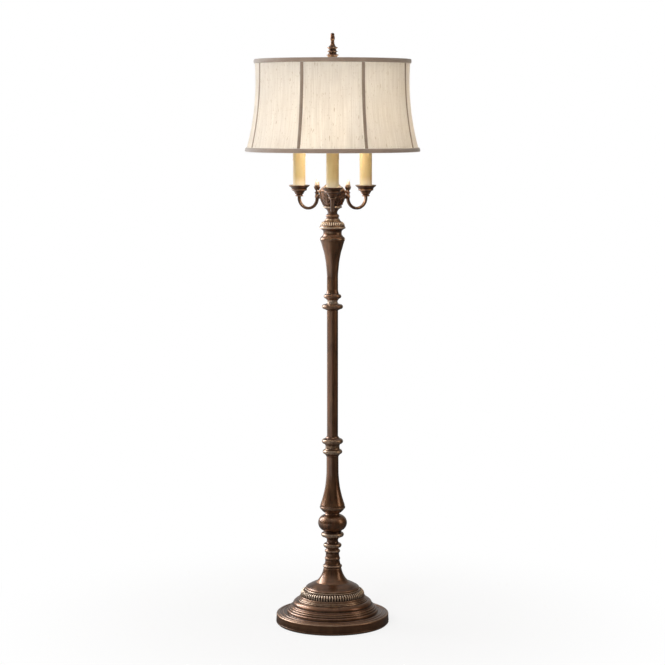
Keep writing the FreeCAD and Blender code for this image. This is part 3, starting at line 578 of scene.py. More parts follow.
def antique_bronze():
    """Brass with a dark patina, rubbed to copper and gold on its crests and gilt bands, then lacquered.

    A gilt attribute of 1 is gold, 1.5 pale gold, and below nothing dark patina.
    """
    material, tree = new_material("antique_bronze")
    place = object_place(tree)
    crest = node(tree, "ShaderNodeAttribute", attribute_name="crest").outputs["Fac"]
    gilt = node(tree, "ShaderNodeAttribute", attribute_name="gilt").outputs["Fac"]
    colour, cloud, fleck = patina_colour(tree, place, crest, gilt)
    fine = noise(tree, place, 520, 2.0, 0.5)
    wear = calc(tree, "ADD", crest, calc(tree, "MULTIPLY", calc(tree, "SUBTRACT", fleck, 0.5), 0.6))
    rubbed = scaled(tree, wear, 0.34, 1.0, 0, 0.66)
    colour = blend_colour(tree, rubbed, colour, RUBBED_COPPER)
    gold = blend_colour(tree, scaled(tree, fleck, 0.36, 0.64), GOLD_DEEP, GOLD)
    pale = calc(tree, "MAXIMUM", scaled(tree, wear, 0.25, 1.0, 0, 0.9), scaled(tree, gilt, 1.0, 1.5))
    gold = blend_colour(tree, pale, gold, GOLD_PALE)
    gold = blend_colour(tree, scaled(tree, crest, -0.1, -0.9, 0, 0.6), gold, PATINA_DEEP)
    patchy = calc(tree, "ADD", gilt, calc(tree, "MULTIPLY", calc(tree, "SUBTRACT", cloud, 0.5), 0.7))
    covered = calc(tree, "MULTIPLY", scaled(tree, patchy, 0.25, 0.62), scaled(tree, gilt, 0.02, 0.2))
    colour = blend_colour(tree, covered, colour, gold)
    holes = scaled(tree, pits(tree, place, 260), 0.0, 0.12)
    relief = bump(tree, fine, 0.04 * MM, 0.4)
    relief = bump(tree, holes, 0.06 * MM, 0.25, relief)
    relief = bump(tree, cloud, 0.5 * MM, 0.25, relief)
    dulled = scaled(tree, cloud, 0.35, 0.7, 0, 0.08)
    gloss = calc(tree, "ADD", scaled(tree, fine, 0.3, 0.7, 0.27, 0.34), dulled)
    finish_with(tree, Base_Color=colour, Roughness=gloss, Normal=relief, Metallic=0.86, Coat_Weight=0.7,
                Coat_Roughness=0.18, Coat_IOR=1.7)
    return material


bronze = antique_bronze()

# The turned pieces with their gilt bands: low and high edge in mm above the floor, and the share covered
GILT_BANDS = {
    "foot_plate": [(2.0, 27.0, -0.3), (28.4, 30.4, 0.35), (31.2, 33.2, -0.4), (68.4, 70.6, 0.5),
                   (72.0, 73.8, 0.6)],
    "gadroon_ring": [(76.6, 78.2, 0.35), (78.6, 95.4, -1.0), (95.8, 99.0, 0.6)],
    "base_bell": [(99.4, 103.6, 0.3), (106.0, 158.5, -0.3)],
    "ringed_neck": [(158.5, 214.5, -0.25), (162.0, 167.6, 0.4), (182.6, 189.6, 0.36), (203.4, 211.4, 0.36)],
    "lower_spool": [(219.0, 229.0, 0.5)],
    "ball_knop": [(250.6, 260.0, 0.62), (264.8, 268.0, 0.3)],
    "lower_baluster": [(331.0, 334.0, 0.5)],
    "lower_collar": [(488.0, 499.6, 0.62), (501.0, 515.0, 1.0), (517.0, 530.6, 0.5)],
    "shaft_tube": [],
    "upper_collar": [(903.0, 913.6, 0.3), (914.6, 926.0, 1.3)],
    "upper_baluster": [(932.0, 941.0, 0.25), (1092.2, 1094.4, 0.4), (1097.0, 1099.6, 0.62)],
    "upper_cap": [(1112.0, 1120.0, 0.42)],
    "dome_flange": [(1126.0, 1127.8, -0.9), (1128.2, 1133.0, 0.9), (1133.8, 1147.0, -0.5),
                    (1147.6, 1154.0, 0.6)],
    "urn_foot": [(1160.0, 1166.0, 0.3), (1184.6, 1189.4, 0.5)],
    "urn_body": [],
    "urn_lid": [(1240.0, 1254.0, 0.6), (1254.0, 1260.0, 0.3)],
    "stem_tube": [(1256.0, 1262.0, 0.2)],
    "shade_seat": [],
}
FINIAL_BANDS = [(1604.0, 1606.6, 0.6), (1616.4, 1618.4, 0.3)]
FINIAL_SOFTNESS = 0.2 * MM

FOOT_RINGS = [(6.0, 8.4, 2.4, 0.6)]  # one shallow ring low on the rim
# The foot's upper side as radius and height: two beads on the plate, four steps, an ovolo and three rings
FOOT_UPPER_SIDE = [
    (155.2, 30.1), (154.0, 29.6), (153.2, 29.9), (152.6, 31.0), (151.0, 31.7), (149.4, 31.2), (148.8, 30.2),
    (148.0, 30.1), (146.0, 30.9), (143.6, 31.0), (142.6, 30.6), (141.8, 31.0), (141.2, 32.2), (139.6, 32.9),
    (138.0, 32.5), (137.4, 31.5), (136.6, 31.4), (134.5, 32.2), (131.6, 32.3), (130.6, 31.9), (130.2, 33.0),
    (130.0, 36.4), (129.4, 38.6), (128.0, 40.2), (126.8, 40.8), (126.2, 40.4), (125.6, 40.6), (125.2, 42.0),
    (124.8, 44.2), (123.6, 45.6), (122.4, 45.9), (121.8, 45.5), (121.2, 45.7), (120.8, 47.2), (120.2, 49.2),
    (118.8, 50.4), (117.6, 50.6), (117.0, 50.2), (116.4, 50.4), (116.0, 51.8), (115.2, 53.2), (114.2, 53.7),
    (113.4, 53.2), (112.8, 53.6), (113.1, 55.4), (112.7, 57.8), (111.5, 60.4), (109.5, 63.0), (106.7, 65.4),
    (103.5, 67.0), (101.7, 67.3), (100.9, 66.8), (100.3, 67.1), (100.1, 68.8), (99.5, 70.2), (98.3, 70.9),
    (97.7, 70.4), (97.1, 70.7), (97.0, 72.4), (96.4, 73.6), (95.4, 74.1), (94.8, 73.6), (94.3, 73.9),
    (94.2, 75.3), (93.6, 76.0)]
# The dome's outside as radius and height: a thin rolled lip, and a fluted slope up to the urn's foot
DOME_OUTSIDE = [
    (33.2, 1126.5), (36.2, 1127.6), (36.9, 1129.6), (36.3, 1131.8), (34.9, 1133.2), (34.3, 1134.6),
    (32.0, 1139.0), (28.4, 1143.6), (24.2, 1147.6), (21.6, 1150.4), (20.8, 1152.4), (20.4, 1154.0)]
FINIAL_STRETCH = (1.07, 1.037)  # wider and taller than its CAD solid, from the photograph


def with_dome(outline):
    """The CAD outline's bore, with the dome's own outside."""
    bore = outline[:, 0].min()
    outside = np.array(DOME_OUTSIDE) * MM
    return np.vstack([outside, (bore, outside[-1, 1]), (bore, outside[0, 1])])


def nearest(outline, radius, height):
    return int(np.argmin(np.hypot(outline[:, 0] - radius * MM, outline[:, 1] - height * MM)))


def with_foot_moulding(outline):
    """The CAD outline with its plate and raised moulding cut into finer beads and steps."""
    outline = np.roll(outline, -nearest(outline, *FOOT_UPPER_SIDE[-1]), axis=0)
    low = nearest(outline, *FOOT_UPPER_SIDE[0])
    return np.vstack([outline[1:low], np.array(FOOT_UPPER_SIDE) * MM])


def stretched_finial(outline):
    return np.column_stack([outline[:, 0] * FINIAL_STRETCH[0],
                            outline[0, 1] + (outline[:, 1] - outline[0, 1]) * FINIAL_STRETCH[1]])


RESHAPED = {"foot_plate": with_foot_moulding, "dome_flange": with_dome}

for name, bands in GILT_BANDS.items():
    rings = FOOT_RINGS if name == "foot_plate" else ()
    turned_piece(name, bronze, bands, rings=rings, reshaped=RESHAPED.get(name))
turned_piece("finial", bronze, FINIAL_BANDS, body="finial", softness=FINIAL_SOFTNESS,
             reshaped=stretched_finial)


# Reeds, flutes and beads
# Half-round reeds cast round the gadroon ring, short flutes on the dome under the urn, and a milled
# edge under the bell. One of each is modelled on the turned surface and repeated round the axis.

REED_COUNT = 72
REED_SPAN = (78.6, 95.4)    # low and high edge in mm above the floor
REED_HEIGHT = 2.4 * MM
FLUTE_COUNT = 34
FLUTE_SPAN = (1135.0, 1146.2)
FLUTE_HEIGHT = 1.7 * MM
BEAD_COUNT = 96
BEAD_SPAN = (96.2, 98.6)
BEAD_HEIGHT = 0.55 * MM
ROOT_DEPTH = 0.6 * MM       # how far an applied ornament goes into the surface that carries it
ENDS_SUNK = 0.1 * MM        # how far a reed's two ends and edges lie under that surface
GAP_SHARE = 0.94            # an ornament's width, as a share of its pitch
WIDE_RING_R = 90 * MM


def outside_between(node_name, low, high, count, reshaped=None):
    """Evenly spaced points up a turned surface between two heights in mm, with its outward directions."""
    line, closed = section_of(node_name)
    if reshaped:
        line = reshaped(line)
    line = averaged(respaced(line, closed, SAMPLE), closed, EDGE_SOFTNESS)
    line = np.roll(line, -np.argmin(line[:, 1] - line[:, 0] * SEAM), axis=0)
    line = line[:np.argmax(line[:, 1] + line[:, 0] * SEAM) + 1]
    inside = (line[:, 1] >= low * MM) & (line[:, 1] <= high * MM)
    line, out = line[inside], outwards(line)[inside]
    along = np.concatenate([[0], np.cumsum(np.hypot(*np.diff(line, axis=0).T))])
    places = np.linspace(0, along[-1], count)
    return [np.column_stack([np.interp(places, along, held[:, axis]) for axis in (0, 1)])
            for held in (line, out)]


def slab_faces(rows, columns, around=False):
    """Faces of a closed slab, from rows and columns of points on its face and as many on its back.

    around joins the last column to the first.
    """
    back = rows * columns
    steps = columns if around else columns - 1
    faces = []
    for row in range(rows - 1):
        low, high = row * columns, (row + 1) * columns
        for column in range(steps):
            beside = (column + 1) % columns
            face = (low + column, low + beside, high + beside, high + column)
            faces += [face, tuple(back + corner for corner in face[::-1])]
    for low, way in ((0, 1), (back - columns, -1)):
        for column in range(steps):
            beside = (column + 1) % columns
            faces.append((low + column, back + low + column, back + low + beside, low + beside)[::way])
    for column, way in () if around else ((0, 1), (columns - 1, -1)):
        for low in range(column, back - columns, columns):
            high = low + columns
            faces.append((low, high, back + high, back + low)[::way])
    return faces


def applied_ornament(spine, out, half_width, relief, across=9):
    """The points and faces of a closed ornament laid along a turned surface.

    half_width(along) and relief(along, side) are in metres; along runs 0 to 1, and side -1 to 1.
    """
    rows = len(spine)
    points, heights = [], []
    for skin in ("face", "root"):
        for row, ((radius, height), (out_r, out_z)) in enumerate(zip(spine, out)):
            along = row / (rows - 1)
            for column in range(across):
                side = 2 * column / (across - 1) - 1
                lift = relief(along, side) if skin == "face" else -ROOT_DEPTH
                turn = side * half_width(along) / radius
                far = radius + out_r * lift
                points.append((far * math.cos(turn), far * math.sin(turn), height + out_z * lift))
                heights.append(lift)
    return points, slab_faces(rows, across), heights


def ring_of_copies():
    """Geometry nodes that repeat a piece round the column's axis."""
    tree = bpy.data.node_groups.new("repeat_round_the_axis", "GeometryNodeTree")
    for name, kind in (("Geometry", "Geometry"), ("Count", "Int"), ("Finish", "Material")):
        tree.interface.new_socket(name, in_out="INPUT", socket_type="NodeSocket" + kind)
    tree.interface.new_socket("Geometry", in_out="OUTPUT", socket_type="NodeSocketGeometry")
    given = tree.nodes.new("NodeGroupInput").outputs
    centres = node(tree, "GeometryNodePoints", {"Count": given["Count"]}).outputs[0]
    number = node(tree, "GeometryNodeInputIndex").outputs[0]
    step = calc(tree, "DIVIDE", 2 * math.pi, given["Count"])
    turn = node(tree, "ShaderNodeCombineXYZ", {"Z": calc(tree, "MULTIPLY", number, step)}).outputs[0]
    inputs = {"Points": centres, "Instance": given["Geometry"], "Rotation": turn}
    copies = node(tree, "GeometryNodeInstanceOnPoints", inputs).outputs[0]
    real = node(tree, "GeometryNodeRealizeInstances", {"Geometry": copies}).outputs[0]
    inputs = {"Geometry": real, "Material": given["Finish"]}
    dressed = node(tree, "GeometryNodeSetMaterial", inputs).outputs[0]
    end = tree.nodes.new("NodeGroupOutput")
    tree.links.new(dressed, end.inputs[0])
    return tree


repeat_round_axis = ring_of_copies()


def shaped_by(made, tree, **inputs):
    """The object's mesh as its geometry nodes make it, with the modifier taken off again."""
    modifier = made.modifiers.new("shaping", "NODES")
    modifier.node_group = tree
    for item in tree.interface.items_tree:
        if item.item_type == "SOCKET" and item.in_out == "INPUT" and item.name in inputs:
            modifier[item.identifier] = inputs[item.name]
    graph = bpy.context.evaluated_depsgraph_get()
    mesh = bpy.data.meshes.new_from_object(made.evaluated_get(graph))
    made.modifiers.remove(modifier)
    mesh.shade_smooth()
    made.data = mesh
    return made


def ring_piece(name, unit, count, material, gilt=1.0, crests=None):
    """A ring of ornaments, each with its crests marked from how high it stands."""
    points, faces, heights = unit
    mesh = bpy.data.meshes.new(name)
    mesh.from_pydata(points, [], faces)
    top = max(heights)
    if crests is None:
        crests = [1.5 * lift / top - 0.75 for lift in heights]  # from -0.75 in the surface to 0.75 on top
    gilded = [min(max(1.8 * lift / top - 0.5, 0), 1) for lift in heights]  # only its upper part
    set_attribute(mesh, "crest", crests)
    set_attribute(mesh, "gilt", [gilt * share for share in gilded])
    made = link_to_scene(bpy.data.objects.new(name, mesh))
    shaped_by(made, repeat_round_axis, Count=count, Finish=material)
    return place_in_frame(made, "stand", ())


def half_round(height, taper):
    """The relief of a half-round reed whose two ends run out over a share of its length."""
    def relief(along, side):
        end = min(along, 1 - along) / taper
        rise = math.sqrt(max(1 - (1 - min(end, 1)) ** 2, 0))
        return height * rise * math.sqrt(max(1 - side ** 2, 0)) - ENDS_SUNK
    return relief


def reeded_ring(name, carrier, span, count, height, rows, taper, gilt, width=GAP_SHARE, reshaped=None):
    """A ring of reeds or beads on a turned piece. A wide ring has plainer reeds than a narrow one."""
    spine, out = outside_between(carrier, *span, rows, reshaped)
    across = 7 if spine[:, 0].mean() < WIDE_RING_R else 5

    def half_width(along):
        radius = np.interp(along, np.linspace(0, 1, len(spine)), spine[:, 0])
        return math.pi * radius / count * width

    unit = applied_ornament(spine, out, half_width, half_round(height, taper), across)
    return ring_piece(name, unit, count, bronze, gilt)


reeded_ring("gadroon_reeds", "gadroon_ring", REED_SPAN, REED_COUNT, REED_HEIGHT, 9, 0.2, 1.6, 0.58)
reeded_ring("dome_flutes", "dome_flange", FLUTE_SPAN, FLUTE_COUNT, FLUTE_HEIGHT, 9, 0.25, 1.6, 0.62,
            with_dome)
reeded_ring("milled_edge", "gadroon_ring", BEAD_SPAN, BEAD_COUNT, BEAD_HEIGHT, 4, 0.5, 0.9)


# Acanthus leaves on the urn
# Six cast leaves that rise from the urn's foot between its arms, each with a ribbed middle, lobed
# edges and a tip that curls outwards under the rim. They are copper brown, rubbed bright at the tips.

LEAF_COUNT = 6
LEAF_FIRST_ANGLE = -60.0    # degrees; the front arm stands between two leaves
LEAF_SPAN = (1191.5, 1234.5)
LEAF_HALF_WIDTH = 13.0 * MM
LEAF_ROWS = 26
LEAF_COLUMNS = 15
LEAF_BODY = 2.0 * MM
LEAF_CURL = 5.0 * MM
LEAF_LOBES = 4.5
MIDRIB_HEIGHT = 1.6 * MM
VEIN_HEIGHT = 1.2 * MM
VEIN_SLANT = 1.1            # lobes by which a vein climbs from the midrib to the edge
LEAF_GILT = 0.62


def leaf_half_width(along):
    """Narrow at its root, widest at two thirds, and scalloped into lobes."""
    swell = math.sin(math.pi * (0.14 + 0.80 * along ** 0.85)) ** 0.8
    lobes = 0.86 + 0.14 * abs(math.sin(math.pi * LEAF_LOBES * along))
    return LEAF_HALF_WIDTH * swell * lobes


def vein_wave(along, side):
    return math.sin(2 * math.pi * (LEAF_LOBES * along - VEIN_SLANT * abs(side)))


def leaf_relief(along, side):
    """A raised midrib, veins that run out to the lobes, a dished blade and a curled tip."""
    midrib = MIDRIB_HEIGHT * math.exp(-(side / 0.13) ** 2) * (1 - 0.5 * along)
    veins = VEIN_HEIGHT * vein_wave(along, side) * abs(side)
    blade = LEAF_BODY * (1 - 0.35 * side ** 2) * min(along / 0.1, 1)
    curl = LEAF_CURL * max((along - 0.62) / 0.38, 0) ** 2 * (1 - 0.3 * side ** 2)
    return blade + midrib + veins + curl


def leaf_crests():
    """Crests of the leaf's face, row by row: the midrib, the veins' tops and the tip."""
    crests = []
    for row in range(LEAF_ROWS):
        along = row / (LEAF_ROWS - 1)
        for column in range(LEAF_COLUMNS):
            side = 2 * column / (LEAF_COLUMNS - 1) - 1
            midrib = math.exp(-(side / 0.16) ** 2) * (1 - 0.4 * along)
            vein = vein_wave(along, side) * min(abs(side) * 2, 1)
            tip = max((along - 0.72) / 0.28, 0)
            crests.append(1.1 * midrib + 0.9 * vein + 1.1 * tip - 0.15)
    return crests


spine, out = outside_between("urn_body", LEAF_SPAN[0], LEAF_SPAN[1], LEAF_ROWS)
points, faces, heights = applied_ornament(spine, out, leaf_half_width, leaf_relief, LEAF_COLUMNS)
first_turn = Matrix.Rotation(math.radians(LEAF_FIRST_ANGLE), 3, "Z")
points = [tuple(first_turn @ Vector(point)) for point in points]
crests = leaf_crests()
crests += [-0.5] * (len(points) - len(crests))
ring_piece("urn_leaves", (points, faces, heights), LEAF_COUNT, bronze, LEAF_GILT, crests)


# Arms
# Three cast arms of a two-lobed section. Each leaves the urn by a collared boss and a knuckle, turns
# down and out in a half circle, and carries a drip cup on its outer end and a bud on its inner end.

ARM_COUNT = 3
ARM_FIRST_ANGLE = -90.0
CANDLE_REACH = -(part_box("candle_1")[0].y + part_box("candle_1")[1].y) / 2
BUD_REACH = -(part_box("arm_bud_1")[0].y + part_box("arm_bud_1")[1].y) / 2
CUP_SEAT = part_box("drip_cup_1")[0].z
BUD_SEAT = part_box("arm_bud_1")[0].z
TENON_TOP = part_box("arm_1")[1].z
LOBE_R = 3.9 * MM
LOBE_APART = 4.2 * MM
TENON_R = 3.9 * MM
TENON_BORE_R = 2.3 * MM
BEND_CENTRE = CUP_SEAT - 3.5 * MM
BOSS_HEIGHT = BEND_CENTRE + 4.0 * MM
BEND_STEPS = 40
LOBE_STEPS = 12
BOSS_SIDES = 48
BOSS_CREST_FULL = 0.25 * MM  # a point that stands this far proud of those beside it is rubbed bare
TENON_SIDES = 32
# The boss along its own axis: how far out it reaches, and its radius there, in mm
BOSS_TURNED = [(34.6, 0), (34.6, 6.6), (35.0, 7.0), (36.6, 7.3), (38.2, 7.0), (38.7, 6.3), (39.1, 5.5),
               (41.0, 5.1), (42.6, 5.3), (43.4, 6.1), (44.0, 6.4), (44.8, 6.1), (45.6, 5.3), (46.6, 5.2),
               (48.0, 6.1), (50.0, 6.7), (52.2, 6.5), (54.4, 5.0), (55.8, 2.8), (56.2, 0)]


def arm_angles():
    return [ARM_FIRST_ANGLE + number * 360.0 / ARM_COUNT for number in range(ARM_COUNT)]


def lobed_loop():
    """The arm's section, sideways and inwards, and how bright each point is rubbed: most on the lobes'
    faces, partly wear and partly a painted highlight.
    """
    meet = math.acos(LOBE_APART / 2 / LOBE_R)
    loop, ridge_wear_and_highlight = [], []
    for side in (1, -1):
        for step in range(LOBE_STEPS + 1):
            turn = -(math.pi - meet) + 2 * (math.pi - meet) * step / LOBE_STEPS
            across = side * LOBE_APART / 2 + LOBE_R * math.cos(turn) * side
            loop.append((across, LOBE_R * math.sin(turn) * side))
            # Partly rubbed wear and partly a painted highlight: the lobes' faces are made bright and their
            # flanks stay dark.
            ridge_wear_and_highlight.append(1.5 * abs(math.sin(turn)) ** 3 - 0.45)
    return loop, ridge_wear_and_highlight


def arm_path():
    """Centre of the section and its inward direction, from under the bud round to under the cup."""
    middle = (CANDLE_REACH + BUD_REACH) / 2
    radius = (CANDLE_REACH - BUD_REACH) / 2
    path = [((BUD_REACH, BUD_SEAT), (1, 0))]
    for step in range(BEND_STEPS + 1):
        turn = math.pi + math.pi * step / BEND_STEPS
        place = (middle + radius * math.cos(turn), BEND_CENTRE + radius * math.sin(turn))
        path.append((place, (-math.cos(turn), -math.sin(turn))))
    path.append(((CANDLE_REACH, CUP_SEAT), (-1, 0)))
    return path


def swept_arm():
    """Points, faces and crests of the lobed bend, closed at both ends."""
    loop, ridge_wear_and_highlight = lobed_loop()
    path = arm_path()
    size = len(loop)
    points = []
    for (x, z), (in_x, in_z) in path:
        for across, inward in loop:
            points.append((x + in_x * inward, across, z + in_z * inward))
    faces = [tuple(range(size))[::-1]]
    for row in range(len(path) - 1):
        for column in range(size):
            beside = (column + 1) % size
            low, high = row * size, (row + 1) * size
            faces.append((low + column, low + beside, high + beside, high + column))
    faces.append(tuple(len(path) * size - size + column for column in range(size)))
    return points, faces, ridge_wear_and_highlight * len(path)


def turned_boss():
    """The boss, turned on its own axis and laid along the way from the urn out to the knuckle."""
    line = np.array([(radius, reach) for reach, radius in BOSS_TURNED]) * MM
    beside = np.vstack([line[:1], (line[:-2] + line[2:]) / 2, line[-1:]])
    crest = np.sum((line - beside) * outwards(line), axis=1) / BOSS_CREST_FULL
    points, faces, on_line = lathe(line, False, BOSS_SIDES)
    points = [(z, y, -x + BOSS_HEIGHT) for x, y, z in points]
    return points, faces, np.clip(crest[on_line], -1, 1)


def tenon():
    """The bored peg that stands up through the drip cup."""
    corners = [(TENON_BORE_R, CUP_SEAT), (TENON_R, CUP_SEAT), (TENON_R, TENON_TOP),
               (TENON_BORE_R, TENON_TOP)]
    points, faces, _ = lathe(corners, True, TENON_SIDES)
    return [(x + CANDLE_REACH, y, z) for x, y, z in points], faces, [0] * len(points)


def joined(*parts):
    """Several closed shapes as one list of points, faces and crests."""
    points, faces, crests = [], [], []
    for more_points, more_faces, more_crests in parts:
        start = len(points)
        points += list(more_points)
        faces += [[corner + start for corner in face] for face in more_faces]
        crests += list(more_crests)
    return points, faces, crests


ARM_GILT = -0.28            # a little darker than bare patina
CUP_BANDS = [(1216.0, 1218.4, 0.3), (1245.6, 1248.0, 0.5)]
BUD_BANDS = [(1224.0, 1244.0, -0.4), (1246.8, 1266.0, 1.6)]

points, faces, crests = joined(swept_arm(), turned_boss(), tenon())
for number, angle in enumerate(arm_angles(), start=1):
    name = f"arm_{number}"
    turn = Matrix.Rotation(math.radians(angle), 4, "Z")
    arm = make_piece(name + "_cast", points, faces, bronze, "stand", [name], turn)
    set_attribute(arm.data, "crest", crests)
    set_attribute(arm.data, "gilt", [ARM_GILT] * len(points))
    turned_piece(f"arm_bud_{number}", bronze, BUD_BANDS, angle=angle, reach=BUD_REACH)
    turned_piece(f"drip_cup_{number}", bronze, CUP_BANDS, angle=angle, reach=CANDLE_REACH)


# Candles, sockets and leads
# Ivory cardboard sleeves dipped in wax stand in the drip cups and hide the lamp sockets. They are amber
# where they are thick, paler at the foot as a painted glow, and have run a little below their upper edge.

# The pale colour at each sleeve's foot is a painted glow.
WAX_FOOT_GLOW = (0.74, 0.64, 0.46, 1)
WAX = (0.545, 0.405, 0.187, 1)
WAX_AMBER = (0.44, 0.285, 0.10, 1)
WAX_SIDES = 96
CANDLE_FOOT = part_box("candle_1")[0].z
CANDLE_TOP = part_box("candle_1")[1].z
WAX_FOOT_GLOW_UP_TO = 34 * MM    # height above its foot at which a sleeve has its full colour
RUN_COUNT = 7
RUN_HEIGHT = 0.55 * MM
RUN_SHORTEST = 14 * MM
RUN_LONGER = 22 * MM        # how much longer the longest may be
RUN_SPREAD = 0.16           # half the width of a run, in radians
RUN_GROWS = 1.5 * MM        # from the upper edge, until it has its full height
RUN_FADES = 2 * MM          # over the last of its length
RUN_BEAD_UP = 3 * MM        # from its end to the middle of the bead that hangs there
RUN_BEAD_LENGTH = 2.5 * MM
GOLDEN_SHARE = 0.618        # spaces the runs unevenly round a sleeve
SLEEVE_SKIN = 0.8 * MM      # only points this near the outer face take wax
SLEEVE_SOFTNESS = 0.35 * MM
PHENOLIC = (0.035, 0.024, 0.018, 1)
PHENOLIC_SHINE = (0.06, 0.045, 0.035, 1)
BRASS_COLOUR = (0.72, 0.50, 0.22, 1)
BRASS_DULL = (0.45, 0.29, 0.12, 1)
LEAD_COLOUR = (0.045, 0.030, 0.020, 1)
LEAD_SCUFF = (0.09, 0.065, 0.045, 1)
NUT_CAP_COLOUR = (0.55, 0.17, 0.05, 1)
NUT_CAP_DULL = (0.42, 0.12, 0.035, 1)


def candle_wax():
    material, tree = new_material("candle_wax")
    place = object_place(tree)
    height = node(tree, "ShaderNodeSeparateXYZ", {0: place}).outputs["Z"]
    cloud = noise(tree, object_place(tree, (1, 1, 0.25)), 55, 4.0)
    fine = noise(tree, place, 700, 3.0)
    # Painted glow: the sleeve turns pale towards its foot.
    up = scaled(tree, height, CANDLE_FOOT, CANDLE_FOOT + WAX_FOOT_GLOW_UP_TO)
    colour = blend_colour(tree, up, WAX_FOOT_GLOW, WAX)
    colour = blend_colour(tree, scaled(tree, cloud, 0.46, 0.72, 0, 0.55), colour, WAX_AMBER)
    relief = bump(tree, fine, 0.03 * MM, 0.6)
    relief = bump(tree, cloud, 0.5 * MM, 0.4, relief)
    finish_with(tree, Base_Color=colour, Roughness=scaled(tree, fine, 0.3, 0.7, 0.36, 0.5), Normal=relief,
                Subsurface_Weight=0.12, Subsurface_Radius=(0.02, 0.011, 0.004), Subsurface_Scale=0.2)
    return material


def run_lift(turn, height, seed):
    """How far the wax stands proud at a place: a few runs that start at the top edge."""
    lift = 0.0
    for number in range(RUN_COUNT):
        centre = 2 * math.pi * ((number * GOLDEN_SHARE + seed * 0.37) % 1)
        drop = RUN_SHORTEST + RUN_LONGER * ((number * 0.37 + seed * 0.21) % 1)
        away = (turn - centre + math.pi) % (2 * math.pi) - math.pi
        below = CANDLE_TOP - height
        if below < drop:
            bead = 1 + 0.5 * math.exp(-((below - drop + RUN_BEAD_UP) / RUN_BEAD_LENGTH) ** 2)
            fade = min((drop - below) / RUN_FADES, 1) * min(below / RUN_GROWS + 0.3, 1)
            lift = max(lift, RUN_HEIGHT * bead * fade * math.exp(-(away / RUN_SPREAD) ** 2))
    return lift


def dipped_sleeve(number, angle, material):
    """The candle sleeve: a tube with a softened rim, and runs of wax on its outer face."""
    name = f"candle_{number}"
    line, closed = section_of(name, angle, CANDLE_REACH)
    outer = line[:, 0].max()
    line = averaged(respaced(line, closed, SAMPLE), closed, SLEEVE_SOFTNESS)[::4]
    points, faces, _ = lathe(line, closed, WAX_SIDES)
    dipped = []
    for x, y, z in points:
        radius, turn = math.hypot(x, y), math.atan2(y, x)
        proud = run_lift(turn, z, number) if radius > outer - SLEEVE_SKIN else 0.0
        grown = 1 + proud / radius
        dipped.append((x * grown, y * grown, z))
    place = Matrix.Rotation(math.radians(angle), 4, "Z") @ Matrix.Translation((CANDLE_REACH, 0, 0))
    body = f"candle_sleeve_{number}"
    make_piece(name + "_dipped", dipped, faces, material, body, [name], place)


wax = candle_wax()
for number, angle in enumerate(arm_angles(), start=1):
    dipped_sleeve(number, angle, wax)
brass = mottled("brass", BRASS_COLOUR, BRASS_DULL, 160, 0.04 * MM, 0.24, 1.0)
phenolic = mottled("phenolic", PHENOLIC, PHENOLIC_SHINE, 220, 0.03 * MM, 0.34)
dress(phenolic, "socket_1", "socket_2", "socket_3")
dress(brass, "screw_shells", "bulb_cap_1", "bulb_cap_2", "bulb_cap_3", "arm_nuts")
dress(zinc, "socket_legs")
dress(mottled("lead_insulation", LEAD_COLOUR, LEAD_SCUFF, 300, 0.05 * MM, 0.5), "arm_leads")
dress(mottled("wire_nut_plastic", NUT_CAP_COLOUR, NUT_CAP_DULL, 240, 0.05 * MM, 0.4), "wire_nuts")


# Bulbs
# Three frosted glass bulbs, lit. Each screws into its socket, and its light comes from inside the glass.

BULB_LIGHT = (1.0, 0.945, 0.87)
BULB_POWER = 1.2
BULB_GLOW = 1.1
BULB_FILAMENT_SHARE = 0.6   # height of the light in the glass
BULB_GLASS = (0.97, 0.95, 0.90, 1)
BULB_FROST = (0.93, 0.90, 0.83, 1)
BULB_GLOW_COLOUR = (1.0, 0.82, 0.58, 1)
BULB_SOFTNESS = 0.6 * MM
BULB_COIL_R = 12 * MM


def frosted_glass():
    material, tree = new_material("frosted_glass")
    place = object_place(tree)
    frost = noise(tree, place, 1500, 2.0)
    cloud = noise(tree, place, 60, 3.0)
    colour = blend_colour(tree, scaled(tree, cloud, 0.4, 0.65), BULB_GLASS, BULB_FROST)
    finish_with(tree, Base_Color=colour, Roughness=scaled(tree, frost, 0.3, 0.7, 0.32, 0.5),
                Normal=bump(tree, frost, 0.02 * MM), Emission_Color=BULB_GLOW_COLOUR,
                Emission_Strength=BULB_GLOW)
    return material


glass = frosted_glass()
for number, angle in enumerate(arm_angles(), start=1):
    name = f"bulb_{number}"
    made = turned_piece(name, glass, (), f"bulb_{number}_glass", f"lamp_bulb_{number}",
                        angle, CANDLE_REACH, BULB_SOFTNESS)
    made.visible_shadow = False
    low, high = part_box(name)
    lamp = bpy.data.lights.new(f"bulb_{number}_light", "POINT")
    lamp.energy = BULB_POWER
    lamp.color = BULB_LIGHT
    lamp.shadow_soft_size = BULB_COIL_R
    shining = link_to_scene(bpy.data.objects.new(f"bulb_{number}_light", lamp))
    shining.location = (low + high) / 2
    shining.location.z = low.z + (high.z - low.z) * BULB_FILAMENT_SHARE


# Shade frame
# The spider, eight ribs and two rings of steel wire, soldered together and lacquered white. The
# lacquer has yellowed in patches.

WIRE_COLOUR = (0.72, 0.69, 0.62, 1)
WIRE_DULL = (0.52, 0.47, 0.39, 1)

wire = mottled("white_lacquered_wire", WIRE_COLOUR, WIRE_DULL, 180, 0.04 * MM, 0.38)
dress(wire, "spider", "shade_ribs", "bottom_ring")


# Shade cover
# Eight panels of cream slubbed silk are stretched over the ribs and sewn at each of them, a little
# flatter between the ribs than at them, with a plain lining inside. The cloth is under a millimetre.

